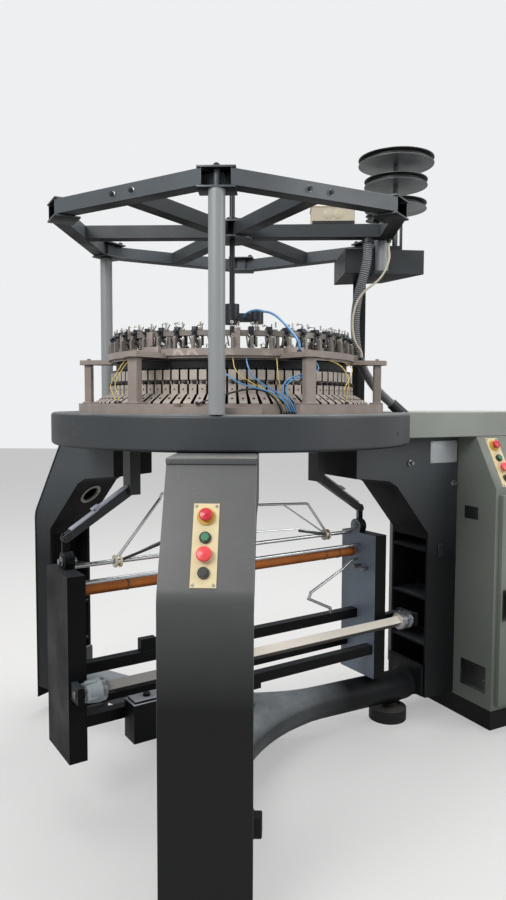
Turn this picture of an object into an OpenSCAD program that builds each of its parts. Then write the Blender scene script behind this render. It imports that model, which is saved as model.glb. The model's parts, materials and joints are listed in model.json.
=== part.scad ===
// Circular knitting machine: three-legged stand, ring bed with the knitting head,
// hexagonal overhead frame, rotating take-down frame and a control cabinet.
// Z is the axis of the needle cylinder and points up. The floor is z = 0.
// The front leg points to -Y. Lengths are millimetres, angles are degrees.

/* [Bed ring] */
// Width of the bed outside the axis of the drive column
bed_rim = 74; // [68:1:80]
// Height of the bed's lower edge above the floor
bed_z0 = 1217; // [1210:1:1222]
// Height of the bed's top surface above the floor
bed_z1 = 1327; // [1323:1:1335]
// Thickness of the bed's top plate
bed_plate = 30; // [24:1:30]
// Thickness of the bed's skirt
bed_skirt = 18; // [10:1:20]
// Radius of the opening in the bed's top plate
bed_bore_r = 405; // [404:1:408]
// Rounding of the bed's outer edges
bed_round = 12; // [4:1:16]

/* [Legs] */
// Directions of the front leg, the left leg and the right leg
leg_angles = [270, 150, 30];
// Width of a leg
leg_w = 234; // [210:2:250]
// Wall thickness of a leg casting
leg_wall = 13; // [8:1:18]
// Radius at which a leg starts under the bed
leg_nose_u = 488; // [470:1:500]
// Radius of the outer face at the top of a leg
leg_top_u = 779; // [760:1:800]
// Radius of the outer face of a leg's upright part
leg_foot_u = 950; // [940:1:980]
// Radius of the inner edge of a leg's upright part
leg_knee_u = 860; // [855:1:880]
// Height of the bend in a leg's outer face
leg_bend_z = 882; // [840:1:920]
// Height of the bend in a leg's inner edge
leg_knee_z = 815; // [780:1:830]
// Height of the underside of a leg's upper box
leg_shelf_z = 1062; // [1050:1:1080]
// Radius at which that underside starts to drop
leg_shelf_u = 650; // [620:1:670]
// Height of the lower end of the legs
leg_bottom_z = 105; // [60:1:115]
// Number of open bays in the upright part of a leg
leg_bays = 4; // [2:1:6]
// Diameter of the cable hole in the left leg
leg_hole_d = 76; // [30:1:80]
// Thickness of the sheet covers on the outer faces of two legs
cover_t = 3; // [2:0.5:4]
// Rounding of the bend in a leg's outer face
leg_bend_r = 100; // [60:5:140]

/* [Foot cross] */
// Diameter of the three cast arms
arm_d = 130; // [100:2:136]
// Height of the arms' centre line
arm_z = 135; // [125:1:137]
// Radius of the hub
hub_r = 120; // [90:1:140]
// Radius of the hub's top flange
hub_flange_r = 150; // [145:1:160]
// Height of the hub's top face
hub_z = 206; // [204:1:215]
// Radius on which the levelling screws stand
foot_u = 755; // [740:1:760]
// Radius of a round foot pad
foot_pad_r = 80; // [76:1:90]
// Thickness of a round foot pad
foot_pad_t = 50; // [40:1:52]
// Radius of the concave edges between the arms
web_r = 795; // [760:5:830]
// Radius on which the floor anchor holes lie
anchor_u = 815; // [800:1:820]
// Radius of a floor anchor hole
anchor_r = 9; // [6:0.5:12]

/* [Bridge and cabinet] */
// Width of the bridge beam from the bed to the cabinet
bridge_w = 440; // [400:2:460]
// Height of the bridge beam's underside
bridge_z0 = 1225; // [1223:1:1235]
// Radius at which the cabinet starts
cab_u0 = 1020; // [1000:1:1030]
// Depth of the cabinet, outwards
cab_len = 500; // [460:1:600]
// Half width of the cabinet
cab_half = 333; // [320:1:345]
// Height of the cabinet's underside
cab_z0 = 100; // [90:1:110]
// Height at which the front panel starts to lean back
cab_lean_z = 1015; // [1012:1:1025]
// Half width at the top of the leaning panel
cab_top_half = 219; // [214:1:222]
// Sheet thickness of the cabinet
cab_t = 3; // [2:0.5:4]
// Thickness of the folded cabinet door
door_t = 18; // [14:1:22]

/* [Switch plates] */
// Width of a switch plate
plate_w = 66; // [64:1:74]
// Length of a switch plate
plate_l = 219; // [214:1:224]
// Thickness of a switch plate
plate_t = 2.5; // [1.5:0.5:3]
// Distances of the four buttons from the upper end of a plate
button_down = [35.5, 92, 137.5, 182.5];
// Radius of a button's stem
stem_r = 10; // [8:0.5:11]
// Travel of a push button
button_travel = 4; // [2:0.5:5]

/* [Knitting head] */
// Outer radius of the needle cylinder
cyl_r = 381; // [378:1:382]
// Wall thickness of the needle cylinder
cyl_wall = 24; // [14:1:26]
// Height of the needle cylinder's top
cyl_top_z = 1500; // [1499:1:1502]
// Number of cam boxes round the cylinder
cam_count = 90; // [72:2:90]
// Width of one cam box
cam_w = 25; // [20:0.5:26]
// Depth of a cam box's lower front face outside the cylinder
cam_depth = 65; // [62:1:68]
// Length of a cam box's slanted foot
cam_foot = 54; // [50:1:58]
// Thickness of the cam plate
cam_plate_t = 30; // [28:1:32]
// Top of the cam boxes
cam_top_z = 1464; // [1460:1:1466]
// Number of columns that carry the upper ring
col_count = 6; // [3:1:8]
// Gap between the cam boxes' feet and the columns
col_gap = 24; // [20:1:28]
// Radial and tangential size of a column
col_size = [26, 36];
// Height of the upper ring's underside
ring_z0 = 1500; // [1499.5:0.5:1502]
// Height of the upper ring's top
ring_z1 = 1530; // [1528:1:1532]
// Outer radius of the upper ring
ring_r = 450; // [444:1:456]
// Number of yarn carriers
carrier_count = 45; // [30:1:60]
// Radius of the feeder rail
rail_r = 420; // [412:1:424]
// Height of the feeder rail's top
rail_z = 1588; // [1586:1:1600]

/* [Drive] */
// Teeth on the ring gear
gear_teeth = 116;
// Teeth on the pinion
pinion_teeth = 12;
// Direction of the pinion and the drive column
drive_angle = 30; // [29:0.5:31]
// Width of the square drive column
drive_col_w = 38; // [36:1:40]
// Height of the pulley housing's underside
housing_z0 = 1850; // [1840:1:1855]
// Height of the pulley housing's top
housing_z1 = 1940; // [1930:1:1950]
// Place of the feed pulleys' shaft
pulley_xy = [615, 136];
// Radii of the three feed pulleys, from the top
pulley_radii = [142, 119, 117];
// Heights of the three feed pulleys, from the top
pulley_z = [2262, 2182, 2096];

/* [Overhead frame] */
// Radius to the hexagon's outer corner
hex_r = 678; // [672:1:684]
// Width of the hexagon's square tubes
hex_w = 50; // [46:1:54]
// Height of the hexagon's tubes
hex_h = 48; // [44:1:50]
// Underside of the hexagon's tubes
hex_z = 1960; // [1955:1:1975]
// Wall of the hexagon's tubes
hex_wall = 3; // [2:0.5:4]
// How far each tube stops short of the corner
hex_cut = 48.5; // [44:0.5:54]
// Thickness of the joint plates
joint_t = 6; // [4:1:8]
// Diameter of the tall posts
post_d = 48.3; // [42:0.1:52]
// Distance of the two tall posts' axes from the bed's edge
post_in = 20; // [18:1:38]

/* [Take-down] */
// Direction of the take-down rolls at rest
td_angle = 35.5;
// Distance of the side plates' inner faces from the centre
side_a = 618; // [612:1:624]
// Depth of the side plates
side_t = 60; // [50:1:66]
// Front and back edge of the side plates
side_b = [-125, 85];
// Lower and upper edge of the side plates
side_z = [212, 815];
// Radius of the draw roll
roll_r = 20; // [16:0.5:22]
// Height of the draw roll
roll_z = 738; // [730:1:742]
// Place of the winding bar across the take-down, and its height
wind_b = -166;
wind_z = 455;
// Width of the square winding bar
wind_w = 40; // [30:1:44]
// Width of the square cross bars
bar_w = 38; // [30:1:40]
// Height of the lower cross bars' underside
bar_z = 316; // [312:1:330]
// Height of the upper cross bar's centre
bar_high_z = 470; // [462:1:480]

/* [Hidden] */
$fn = 96;

// Small allowances
fit_gap = 0.2;
run_gap = 0.05;
face_gap = 0.3;
eps = 1;

// Radii of the bed and the knitting head, from the cylinder outwards
cam_r = cyl_r + cam_depth;
col_r = cam_r + cam_foot + col_gap + col_size[0];
cam_plate_r = col_r + 5;
drive_u = cam_plate_r + 2 + drive_col_w / 2;
bed_r = drive_u + bed_rim;
post_u = bed_r - post_in;

// Leg outline in the plane of its own radius and height
leg_drop = [40, 22];
leg_shelf_fall = 18;
leg_ramp = 10;
leg_inner = [
    [leg_nose_u, bed_z0],
    [leg_nose_u, leg_shelf_z],
    [leg_shelf_u, leg_shelf_z - leg_shelf_fall],
    [leg_shelf_u + leg_drop[0], leg_shelf_z - leg_shelf_fall - leg_drop[1]],
    [leg_knee_u, leg_knee_z],
    [leg_knee_u, leg_bottom_z]];
leg_under = [
    [leg_shelf_u + leg_drop[0], leg_shelf_z - leg_shelf_fall - leg_drop[1]],
    [leg_knee_u, leg_knee_z]];
leg_hole_down = 0.27;
leg_slope = atan2(leg_top_u - leg_foot_u, bed_z0 - leg_ramp - leg_bend_z);
leg_open_z = leg_knee_z - 2 * leg_wall;

// Main gear pair
gear_module = 2 * drive_u / (gear_teeth + pinion_teeth);
gear_r = gear_module * gear_teeth / 2;
pinion_r = gear_module * pinion_teeth / 2;
tooth_up = 0.6 * gear_module;
tooth_down = 0.8 * gear_module;
gear_z0 = 1266;
gear_t = 24;
bed_floor_t = 10;
race_r = [cyl_r + 59, cyl_r + 99];
belt_z = [1236, 1254];
belt_r = 40;
belt_t = 3;
drive_shaft_r = 12;
motor_r = 85;
motor_u = cab_u0 + cab_t + motor_r + 22;

// Switch plates
leg_tilt = 90 + leg_slope;
cab_tilt = atan2(bridge_z0 - cab_lean_z, cab_half - cab_top_half);
leg_plate_down = 0.63;
leg_plate_u = leg_top_u + (leg_foot_u - leg_top_u) * leg_plate_down;
leg_plate_y = -6;
leg_plate_z = bed_z0 - leg_ramp + (leg_bend_z - bed_z0 + leg_ramp) * leg_plate_down;
cab_plate_u = cab_u0 + 75;
hole_r = stem_r + 2;

// Overhead frame
hex_apothem = hex_r * cos(30);
hex_mid = hex_apothem - hex_w / 2;
hex_len = hex_r - 2 * hex_cut;
hex_top = hex_z + hex_h;
hub_plate_r = 110;
spoke_r0 = 62;
rod_r = 10;
rod_top = hex_top + joint_t + 118;
rod_low = 1650;
third_post = [555, 52];
housing_plan = [[420, 66], [722, 109], [590, 308], [400, 346]];
idler_xy = [549, 172];
idler_r = 42;

// Take-down
side_end = side_a + side_t;
ear_z = 840;
link_low = [side_a + 22, 915];
link_high = [cyl_r + 23, 1066];
spindle_r = 25;
spindle_z = [222, 296];
bow_b = 28;
bow_z = 812;

// Cord routes: the conduit, the cream cable and the blue tube
conduit_path = [
    [496, 0, 1944], [496, 0, 1912], [494, 4, 1880], [484, 12, 1830], [467, 24, 1760],
    [458, 36, 1690], [460, 50, 1620], [472, 62, 1550], [498, 74, 1485], [534, 84, 1430], [572, 91, 1390],
    [606, 95, 1360]];
conduit_r = 17.5;
conduit_end = along(conduit_path, len(conduit_path) - 1);
cream_path = [
    [572, -4, 1945], [572, -4, 1922], [574, -7, 1890], [562, -10, 1850], [540, -12, 1815],
    [512, -14, 1790], [482, -16, 1765], [458, -18, 1730], [446, -20, 1690],
    [442, -20, 1650], [446, -20, 1610], [458, -18, 1576], [476, -16, 1548],
    [476, -16, 1527]];
cream_r = 4;
blue_path = [
    [46, -16.3, 1675], [46, -36, 1675], [64, -84, 1684], [96, -146, 1684], [120, -206, 1672],
    [144, -266, 1660], [168, -324, 1640], [192, -378, 1612], [214, -420, 1583],
    [232, -452, 1555], [238, -464, 1541], [238, -464, 1522]];
blue_r = 4;

// Ring of rectangular section
module ring(r_out, r_in, z0, z1)
    rotate_extrude()
        translate([r_in, z0]) square([r_out - r_in, z1 - z0]);

// Prism from an outline of radius and height, centred on its own width
module profile_plate(width, points)
    rotate([90, 0, 0])
        linear_extrude(width, center = true) polygon(points);

// Prism along the radius from an outline of sideways place and height
module cross_profile(u0, length, points)
    translate([u0, 0, 0])
        rotate([90, 0, 90])
            linear_extrude(length) polygon(points);

// Box between two corners
module box(low, high)
    translate(low) cube(high - low);

// Straight round bar between two points in the plane y = 0 of its frame
module bar_xz(from, to, r)
    translate([from[0], 0, from[1]])
        rotate([0, atan2(to[0] - from[0], to[1] - from[1]), 0])
            cylinder(h = norm(to - from), r = r);

// Round bar with ball corners along a list of places and heights
module bent_rod(points, r) {
    for (i = [0 : len(points) - 2])
        bar_xz(points[i], points[i + 1], r);
    for (i = [1 : len(points) - 2])
        translate([points[i][0], 0, points[i][1]]) sphere(r = r + 1);
}

// Turn into the frame of a leg, with X outwards
module on_leg(i)
    rotate([0, 0, leg_angles[i]]) children();

// Turn into the take-down's frame, with X along the rolls
module on_takedown()
    rotate([0, 0, td_angle]) children();

// Arc points for a rounded corner
function arc(centre, r, from, to, steps) =
    [for (i = [0 : steps])
        let (a = from + (to - from) * i / steps)
        centre + r * [cos(a), sin(a)]];

// Direction of a path at one of its points
function along(p, i) =
    let (d = p[min(i + 1, len(p) - 1)] - p[max(i - 1, 0)]) d / norm(d);

// Direction square to a path, kept level with a given one
function across(d, up) = cross(up, d) / norm(cross(up, d));

// Plain round tube swept along a path
module tube(path, r, sides = 8, up = [0, 1, 0]) {
    n = len(path);
    rings = [for (i = [0 : n - 1])
        let (d = along(path, i), a = across(d, up), b = cross(d, a))
        for (k = [0 : sides - 1])
            path[i] + r * (cos(360 * k / sides) * a + sin(360 * k / sides) * b)];
    walls = [for (i = [0 : n - 2], k = [0 : sides - 1])
        let (k2 = (k + 1) % sides)
        [i * sides + k, (i + 1) * sides + k, (i + 1) * sides + k2, i * sides + k2]];
    caps = [[for (k = [0 : sides - 1]) k],
        [for (k = [sides - 1 : -1 : 0]) (n - 1) * sides + k]];
    polyhedron(rings, concat(walls, caps));
}

// Gear outline with straight-sided teeth, one tooth centred on +X
module gear_outline(r, teeth) {
    half = 360 / teeth * 0.21;
    tip = half * 0.55;
    root = half * 1.45;
    polygon([for (i = [0 : teeth - 1])
        let (a = 360 * i / teeth)
        each [
            (r - tooth_down) * [cos(a - root), sin(a - root)],
            (r + tooth_up) * [cos(a - tip), sin(a - tip)],
            (r + tooth_up) * [cos(a + tip), sin(a + tip)],
            (r - tooth_down) * [cos(a + root), sin(a + root)]]]);
}

// Cast ring bed: top plate, rounded skirt and a floor with the bearing race
module bed_ring() color([0.28, 0.3, 0.3]) {
    outer = concat(
        [[bed_bore_r, bed_z1]],
        [[bed_bore_r, bed_z1 - bed_plate]],
        [[bed_r - bed_skirt, bed_z1 - bed_plate]],
        [[bed_r - bed_skirt, bed_z0 + bed_floor_t]],
        [[race_r[1], bed_z0 + bed_floor_t]],
        [[race_r[1], gear_z0 - face_gap]],
        [[race_r[0], gear_z0 - face_gap]],
        [[race_r[0], bed_z0]],
        arc([bed_r - bed_round, bed_z0 + bed_round], bed_round, -90, 0, 6),
        arc([bed_r - bed_round, bed_z1 - bed_round], bed_round, 0, 90, 6));
    difference() {
        rotate_extrude() polygon(outer);
        rotate([0, 0, drive_angle]) {
            translate([drive_u, 0, bed_z1 - bed_plate - eps])
                cylinder(h = bed_plate + 2 * eps, r = drive_shaft_r + run_gap);
            box([drive_u, -belt_r - 12, bed_z0 + bed_floor_t],
                [bed_r + eps, belt_r + 12, bed_z1 - bed_plate]);
        }
    }
}

// Hollow beam from the bed over the right leg to the cabinet
module bridge_table() color([0.56, 0.57, 0.54]) on_leg(2) {
    wall = 6;
    u1 = cab_u0 + cab_len;
    difference() {
        box([560, -bridge_w / 2, bridge_z0], [u1, bridge_w / 2, bed_z1]);
        box([540, -bridge_w / 2 + wall, bridge_z0 + wall],
            [u1 - wall, bridge_w / 2 - wall, bed_z1 - wall]);
        translate([0, 0, bridge_z0 - eps])
            cylinder(h = bed_z1 - bridge_z0 + 2 * eps, r = bed_r + fit_gap);
        translate([motor_u, 0, bridge_z0 - eps]) cylinder(h = wall + 2 * eps, r = 30);
    }
}

// Leg casting: closed upper box, open ribbed bays below
module leg_casting(outer, outer_u) {
    half_in = leg_w / 2 - leg_wall;
    bay = (leg_open_z - leg_bottom_z) / leg_bays;
    difference() {
        profile_plate(leg_w, concat(leg_inner, outer));
        profile_plate(2 * half_in, [
            [leg_nose_u + leg_wall, bed_z0 - leg_wall],
            [leg_nose_u + leg_wall, leg_shelf_z + leg_wall],
            [leg_shelf_u + 3, leg_shelf_z - leg_shelf_fall + leg_wall],
            [leg_shelf_u + leg_drop[0] + 8, leg_shelf_z - leg_shelf_fall - leg_drop[1] + leg_wall],
            [leg_knee_u + leg_wall, leg_knee_z + 4],
            [leg_knee_u + leg_wall, leg_open_z + leg_wall],
            [outer_u + eps, leg_open_z + leg_wall],
            [outer_u + eps, bed_z0 - leg_wall - leg_ramp]]);
        for (i = [0 : leg_bays - 1])
            box([leg_knee_u - eps, -half_in, leg_bottom_z + i * bay + leg_wall],
                [outer_u - leg_wall, half_in, leg_bottom_z + (i + 1) * bay]);
    }
}

// Outer side of the front and the left leg, with its rounded bend
bend_at = [leg_foot_u - leg_bend_r, leg_bend_z + leg_bend_r * tan(leg_slope / 2)];
leg_outer = concat(
    [[leg_foot_u, leg_bottom_z]],
    arc(bend_at, leg_bend_r, 0, -leg_slope, 6),
    [[leg_top_u, bed_z0 - leg_ramp], [bed_r, bed_z0]]);

module front_leg() color([0.3, 0.32, 0.31]) on_leg(0) {
    leg_casting(leg_outer, leg_foot_u);
    box([leg_knee_u + 10, leg_w / 2, 250], [leg_knee_u + 50, leg_w / 2 + 24, 306]);
}

module left_leg() color([0.26, 0.3, 0.31]) on_leg(1)
    difference() {
        leg_casting(leg_outer, leg_foot_u);
        translate([
            leg_under[0][0] + (leg_under[1][0] - leg_under[0][0]) * leg_hole_down, 0,
            leg_under[0][1] + (leg_under[1][1] - leg_under[0][1]) * leg_hole_down])
            rotate([0, 180 + atan2(leg_under[0][1] - leg_under[1][1],
                leg_under[1][0] - leg_under[0][0]), 0])
                cylinder(h = 60, d = leg_hole_d, center = true);
    }

module right_leg() color([0.25, 0.27, 0.26]) on_leg(2)
    difference() {
        leg_casting([
            [cab_u0, leg_bottom_z], [cab_u0, bridge_z0],
            [bed_r + 2, bridge_z0], [bed_r + 2, bed_z0]], cab_u0);
        box([drive_u - 30, -30, bed_z0 - leg_wall - eps], [drive_u + 30, 30, bed_z0 + eps]);
    }

// Bent sheet covers on the outer faces of the front and the left leg
module leg_cover() {
    low_z = 60;
    wide = leg_w + 6;
    down = [leg_foot_u - leg_top_u, leg_bend_z - bed_z0 + leg_ramp];
    n = [-down[1], down[0]] / norm(down) * cover_t;
    profile_plate(wide, concat(
        [[leg_foot_u, low_z], [leg_foot_u + cover_t, low_z]],
        arc(bend_at, leg_bend_r + cover_t, 0, -leg_slope, 6),
        [[leg_top_u + n[0], bed_z0 - leg_ramp + n[1]], [leg_top_u, bed_z0 - leg_ramp]],
        arc(bend_at, leg_bend_r, -leg_slope, 0, 6)));
}

// Places of the four buttons along a plate, from its upper end
button_at = [for (d = button_down) d - plate_l / 2];

// Frame of the leg's switch plate: Z outwards, X down the slope
module on_leg_plate()
    on_leg(0)
        translate([leg_plate_u, leg_plate_y, leg_plate_z]) rotate([0, leg_tilt, 0])
            translate([0, 0, cover_t]) children();

// Frame of the cabinet's switch plate: Z outwards, X down the slope
module on_cabinet_plate()
    on_leg(2)
        translate([cab_plate_u, -(cab_half + cab_top_half) / 2, (cab_lean_z + bridge_z0) / 2])
            rotate([cab_tilt, 0, 0]) rotate([0, 0, -90]) children();

module button_holes(r, depth)
    for (x = button_at)
        translate([x, 0, -depth]) cylinder(h = depth + 3 * eps, r = r);

module leg_covers() color([0.3, 0.32, 0.31]) {
    difference() {
        on_leg(0) leg_cover();
        on_leg_plate() button_holes(hole_r, 12);
    }
    on_leg(1) leg_cover();
}

// Half height and half width of the webs that widen the arms towards the hub
web_steps = [[23, 58], [40, 48], [54, 33]];

// Plate with concave edges between the three arms
module arm_web(half_w)
    difference() {
        circle(r = 480);
        for (i = [0 : 2])
            rotate(leg_angles[i] + 60) translate([(half_w + web_r) / sin(60), 0]) circle(r = web_r);
    }

// Cast foot cross: hub, three round arms with their webs and their end flanges
module foot_cross() color([0.34, 0.36, 0.37])
    difference() {
        union() {
            for (w = web_steps)
                translate([0, 0, arm_z - w[0]]) linear_extrude(2 * w[0]) arm_web(w[1]);
            translate([0, 0, 60]) cylinder(h = hub_z - 15 - 60, r = hub_r);
            translate([0, 0, hub_z - 15]) cylinder(h = 15, r = hub_flange_r);
            for (i = [0 : 2])
                on_leg(i) {
                    translate([hub_r - 20, 0, arm_z]) rotate([0, 90, 0])
                        cylinder(h = leg_knee_u - 10 - hub_r + 20, d = arm_d);
                    box([leg_knee_u - 16, -leg_w / 2, leg_bottom_z],
                        [leg_knee_u - fit_gap, leg_w / 2, leg_bottom_z + 150]);
                    translate([foot_u, 0, arm_z - arm_d / 2 - 4]) cylinder(h = arm_d / 2, r = 42);
                }
        }
        for (i = [0 : 2])
            on_leg(i) translate([foot_u, 0, 0]) cylinder(h = arm_z - 10, r = 15 + run_gap);
        translate([0, 0, 50]) cylinder(h = 40, r = 70);
    }

// Round foot pads with their levelling screws
module levelling_feet() color([0.2, 0.2, 0.2])
    for (i = [0 : 2])
        on_leg(i)
            difference() {
                union() {
                    translate([foot_u, 0, 0]) cylinder(h = foot_pad_t, r = foot_pad_r);
                    translate([foot_u, 0, 0]) cylinder(h = arm_z - 20, r = 15);
                    translate([foot_u, 0, foot_pad_t]) cylinder(h = 10, r = 26, $fn = 6);
                }
                translate([anchor_u, 0, -eps]) cylinder(h = foot_pad_t + 2 * eps, r = anchor_r);
            }

// Bearing housing of the take-down's spindle, on the hub
module pivot_bearing() color([0.4, 0.42, 0.43])
    difference() {
        union() {
            ring(90, spindle_r + run_gap, hub_z, hub_z + 14);
            ring(56, spindle_r + run_gap, hub_z, hub_z + 62);
        }
        for (i = [0 : 5])
            rotate([0, 0, 60 * i]) translate([74, 0, hub_z - eps]) cylinder(h = 16, r = 5);
    }

// Side outline of the cabinet, grown outwards by d
function cabinet_outline(d) = [
    [-cab_half - d, cab_z0 - d],
    [-cab_half - d, cab_lean_z + 0.3 * d],
    [-cab_top_half - 0.6 * d, bridge_z0 + d],
    [cab_half + d, bridge_z0 + d],
    [cab_half + d, cab_z0 - d]];
door_u = [cab_u0 + 22, cab_u0 + cab_len - 20];
door_z = [122, 992];
hinge_at = [door_u[1] + 6, -cab_half - 12];
hinge_r = 5;
pin_r = 2;
hinge_places = [260, 820];
plinth_in = 30;
plinth_t = 8;

module control_cabinet() color([0.42, 0.45, 0.42]) on_leg(2) {
    rim = 26;
    difference() {
        cross_profile(cab_u0, cab_len, cabinet_outline(0));
        cross_profile(cab_u0 + cab_t, cab_len - 2 * cab_t, cabinet_outline(-cab_t));
        box([door_u[0] + rim, -cab_half - eps, door_z[0] + rim],
            [door_u[1] - rim, -cab_half + 2 * cab_t, door_z[1] - rim]);
        translate([motor_u, 0, bridge_z0 - 10]) cylinder(h = 20, r = 30);
        rotate([0, 0, -leg_angles[2]]) on_cabinet_plate() button_holes(hole_r, 8);
    }
    difference() {
        box([cab_u0 + plinth_in, -cab_half + plinth_in, 0],
            [cab_u0 + cab_len - plinth_in, cab_half - plinth_in, cab_z0]);
        box([cab_u0 + plinth_in + plinth_t, -cab_half + plinth_in + plinth_t, -eps],
            [cab_u0 + cab_len - plinth_in - plinth_t, cab_half - plinth_in - plinth_t,
                cab_z0 + eps]);
    }
    for (z = hinge_places)
        difference() {
            union() {
                translate([hinge_at[0], hinge_at[1], z]) cylinder(h = 30, r = hinge_r);
                box([hinge_at[0] - 2, hinge_at[1], z], [hinge_at[0] + 2, -cab_half, z + 30]);
                translate([hinge_at[0], hinge_at[1], z + 30 - eps]) cylinder(h = 30, r = pin_r);
            }
        }
}

// Folded sheet door on the cabinet's front
module cabinet_door() color([0.44, 0.47, 0.44]) on_leg(2) {
    y1 = -cab_half - face_gap;
    y0 = y1 - door_t;
    difference() {
        union() {
            box([door_u[0], y0, door_z[0]], [door_u[1], y1, door_z[1]]);
            for (z = hinge_places) {
                translate([hinge_at[0], hinge_at[1], z + 30 + face_gap]) cylinder(h = 28, r = hinge_r);
                box([door_u[1] - 1, hinge_at[1] - 2, z + 30 + face_gap],
                    [hinge_at[0], hinge_at[1] + 2, z + 58 + face_gap]);
            }
        }
        box([door_u[0] + 3, y0 + 3, door_z[0] + 3], [door_u[1] - 3, y1 + eps, door_z[1] - 3]);
        for (z = hinge_places)
            translate([hinge_at[0], hinge_at[1], z + 20]) cylinder(h = 50, r = pin_r + run_gap);
        translate([handle_u, 0, handle_z]) rotate([90, 0, 0])
            translate([0, 0, cab_half - 10]) cylinder(h = 40, r = 8 + run_gap);
    }
}
handle_u = cab_u0 + 50;
handle_z = 592;

// Turning latch handle of the door
module door_handle() color([0.1, 0.1, 0.1]) on_leg(2) {
    face = cab_half + face_gap + door_t;
    translate([handle_u, -face, handle_z]) rotate([90, 0, 0]) {
        translate([0, 0, -14]) cylinder(h = 20, r = 8);
        translate([0, 0, face_gap]) cylinder(h = 9, r = 15);
    }
    hull() {
        translate([handle_u, -face - 6, handle_z]) rotate([90, 0, 0]) cylinder(h = 8, r = 11, $fn = 32);
        translate([handle_u, -face - 10, handle_z - 104]) rotate([90, 0, 0])
            cylinder(h = 8, r = 9, $fn = 32);
    }
}

// Mounting plate inside the cabinet with its drive unit and contactors
module electrics_panel() color([0.75, 0.75, 0.72]) on_leg(2) {
    y = cab_half - cab_t - 24;
    box([cab_u0 + 40, y, 160], [cab_u0 + cab_len - 40, y + 3, 860]);
    for (u = [cab_u0 + 60, cab_u0 + cab_len - 60], z = [200, 820])
        translate([u, y + 3, z]) rotate([-90, 0, 0]) cylinder(h = 21 - face_gap, r = 8);
    box([cab_u0 + 80, y - 150, 520], [cab_u0 + 260, y, 820]);
    for (i = [0 : 3])
        box([cab_u0 + 290 + 42 * i, y - 80, 700], [cab_u0 + 326 + 42 * i, y, 790]);
    box([cab_u0 + 80, y - 60, 230], [cab_u0 + 420, y, 300]);
}

// Pale plates with their collars
module switch_plate() {
    difference() {
        union() {
            translate([0, 0, plate_t / 2]) cube([plate_l, plate_w, plate_t], center = true);
            translate([button_at[0], 0, plate_t]) cylinder(h = 6, r = 23);
            for (i = [1, 3])
                translate([button_at[i], 0, plate_t]) cylinder(h = 7, r = 14.5);
            translate([button_at[2], 0, plate_t]) cylinder(h = 4, r = 14.5);
        }
        button_holes(stem_r + run_gap * 2, 8);
        for (x = button_at)
            translate([x, 0, plate_t]) cylinder(h = 20, r = stem_r + run_gap * 2);
    }
    for (x = [-1, 1], y = [-1, 1])
        translate([x * (plate_l / 2 - 7), y * (plate_w / 2 - 7), plate_t]) cylinder(h = 2, r = 3.5);
}

module switch_plates() color([0.85, 0.78, 0.6]) {
    on_leg_plate() switch_plate();
    on_cabinet_plate() switch_plate();
}

// Stem of a button, from below the plate to its head
module stem(top)
    translate([0, 0, -6]) cylinder(h = top + 6, r = stem_r);

// Mushroom head with a domed top
module mushroom(r, z) {
    rotate_extrude()
        polygon(concat([[0, z]], [[r - 3, z]], arc([r - 5, z + 7], 5, -30, 60, 4), [[0, z + 15]]));
}

module emergency_head() {
    stem(plate_t + 12);
    mushroom(17, plate_t + 11);
}

module stop_head() {
    stem(plate_t + 9);
    mushroom(20, plate_t + 8.5);
}

module flat_head() {
    stem(plate_t + 12);
}

module leg_emergency_stop() color([0.8, 0.1, 0.2])
    on_leg_plate() translate([button_at[0], 0, 0]) emergency_head();
module leg_start_button() color([0.15, 0.5, 0.35])
    on_leg_plate() translate([button_at[1], 0, 0]) flat_head();
module leg_stop_button() color([0.9, 0.2, 0.25])
    on_leg_plate() translate([button_at[2], 0, 0]) stop_head();
module leg_jog_button() color([0.1, 0.1, 0.1])
    on_leg_plate() translate([button_at[3], 0, 0]) flat_head();
module cabinet_emergency_stop() color([0.8, 0.1, 0.2])
    on_cabinet_plate() translate([button_at[0], 0, 0]) emergency_head();
module cabinet_start_button() color([0.15, 0.5, 0.35])
    on_cabinet_plate() translate([button_at[1], 0, 0]) flat_head();
module cabinet_stop_button() color([0.9, 0.2, 0.25])
    on_cabinet_plate() translate([button_at[2], 0, 0]) stop_head();
module cabinet_jog_button() color([0.1, 0.1, 0.1])
    on_cabinet_plate() translate([button_at[3], 0, 0]) flat_head();

// Plate ring on the bed that carries the cam boxes and the columns
cam_z0 = bed_z1 + cam_plate_t;
low_plate = [-104.3, 26.8];
plate_gap = 13.1;
module plate_sector(from, turn, r, size, z)
    rotate([0, 0, from])
        rotate_extrude(angle = turn) translate([r, z]) square(size);

module cam_plate() color([0.55, 0.51, 0.48]) {
    step_r = cam_r + cam_foot + 4;
    difference() {
        ring(cam_plate_r, cyl_r + 14, bed_z1, cam_z0);
        plate_sector(low_plate[0], low_plate[1] + plate_gap, step_r, [80, cam_plate_t + 2 * eps],
            bed_z1 - eps);
    }
    plate_sector(low_plate[0], low_plate[1], step_r - eps, [82, 20], bed_z1);
}

// Dark ring behind the cam boxes
module cam_carrier() color([0.12, 0.12, 0.12])
    ring(cyl_r + 23, cyl_r + 5, cam_z0, cam_top_z);

// Cam boxes: one profiled block per feed, with a slanted foot
cam_back = cyl_r + 23.4;
module cam_box()
    profile_plate(cam_w, [
        [cam_back, cam_z0], [cam_r + cam_foot, cam_z0], [cam_r + cam_foot, cam_z0 + 5],
        [cam_r + 8, cam_z0 + 31], [cam_r, cam_z0 + 31], [cam_r, cam_z0 + 61],
        [cam_r - 14, cam_z0 + 61], [cam_r - 14, cam_z0 + 75],
        [cam_r - 5, cam_z0 + 75], [cam_r - 5, cam_top_z], [cam_back, cam_top_z]]);

module cam_boxes() color([0.6, 0.57, 0.54])
    for (i = [0 : cam_count - 1])
        rotate([0, 0, 360 / cam_count * (i + 0.5)]) cam_box();

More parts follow.
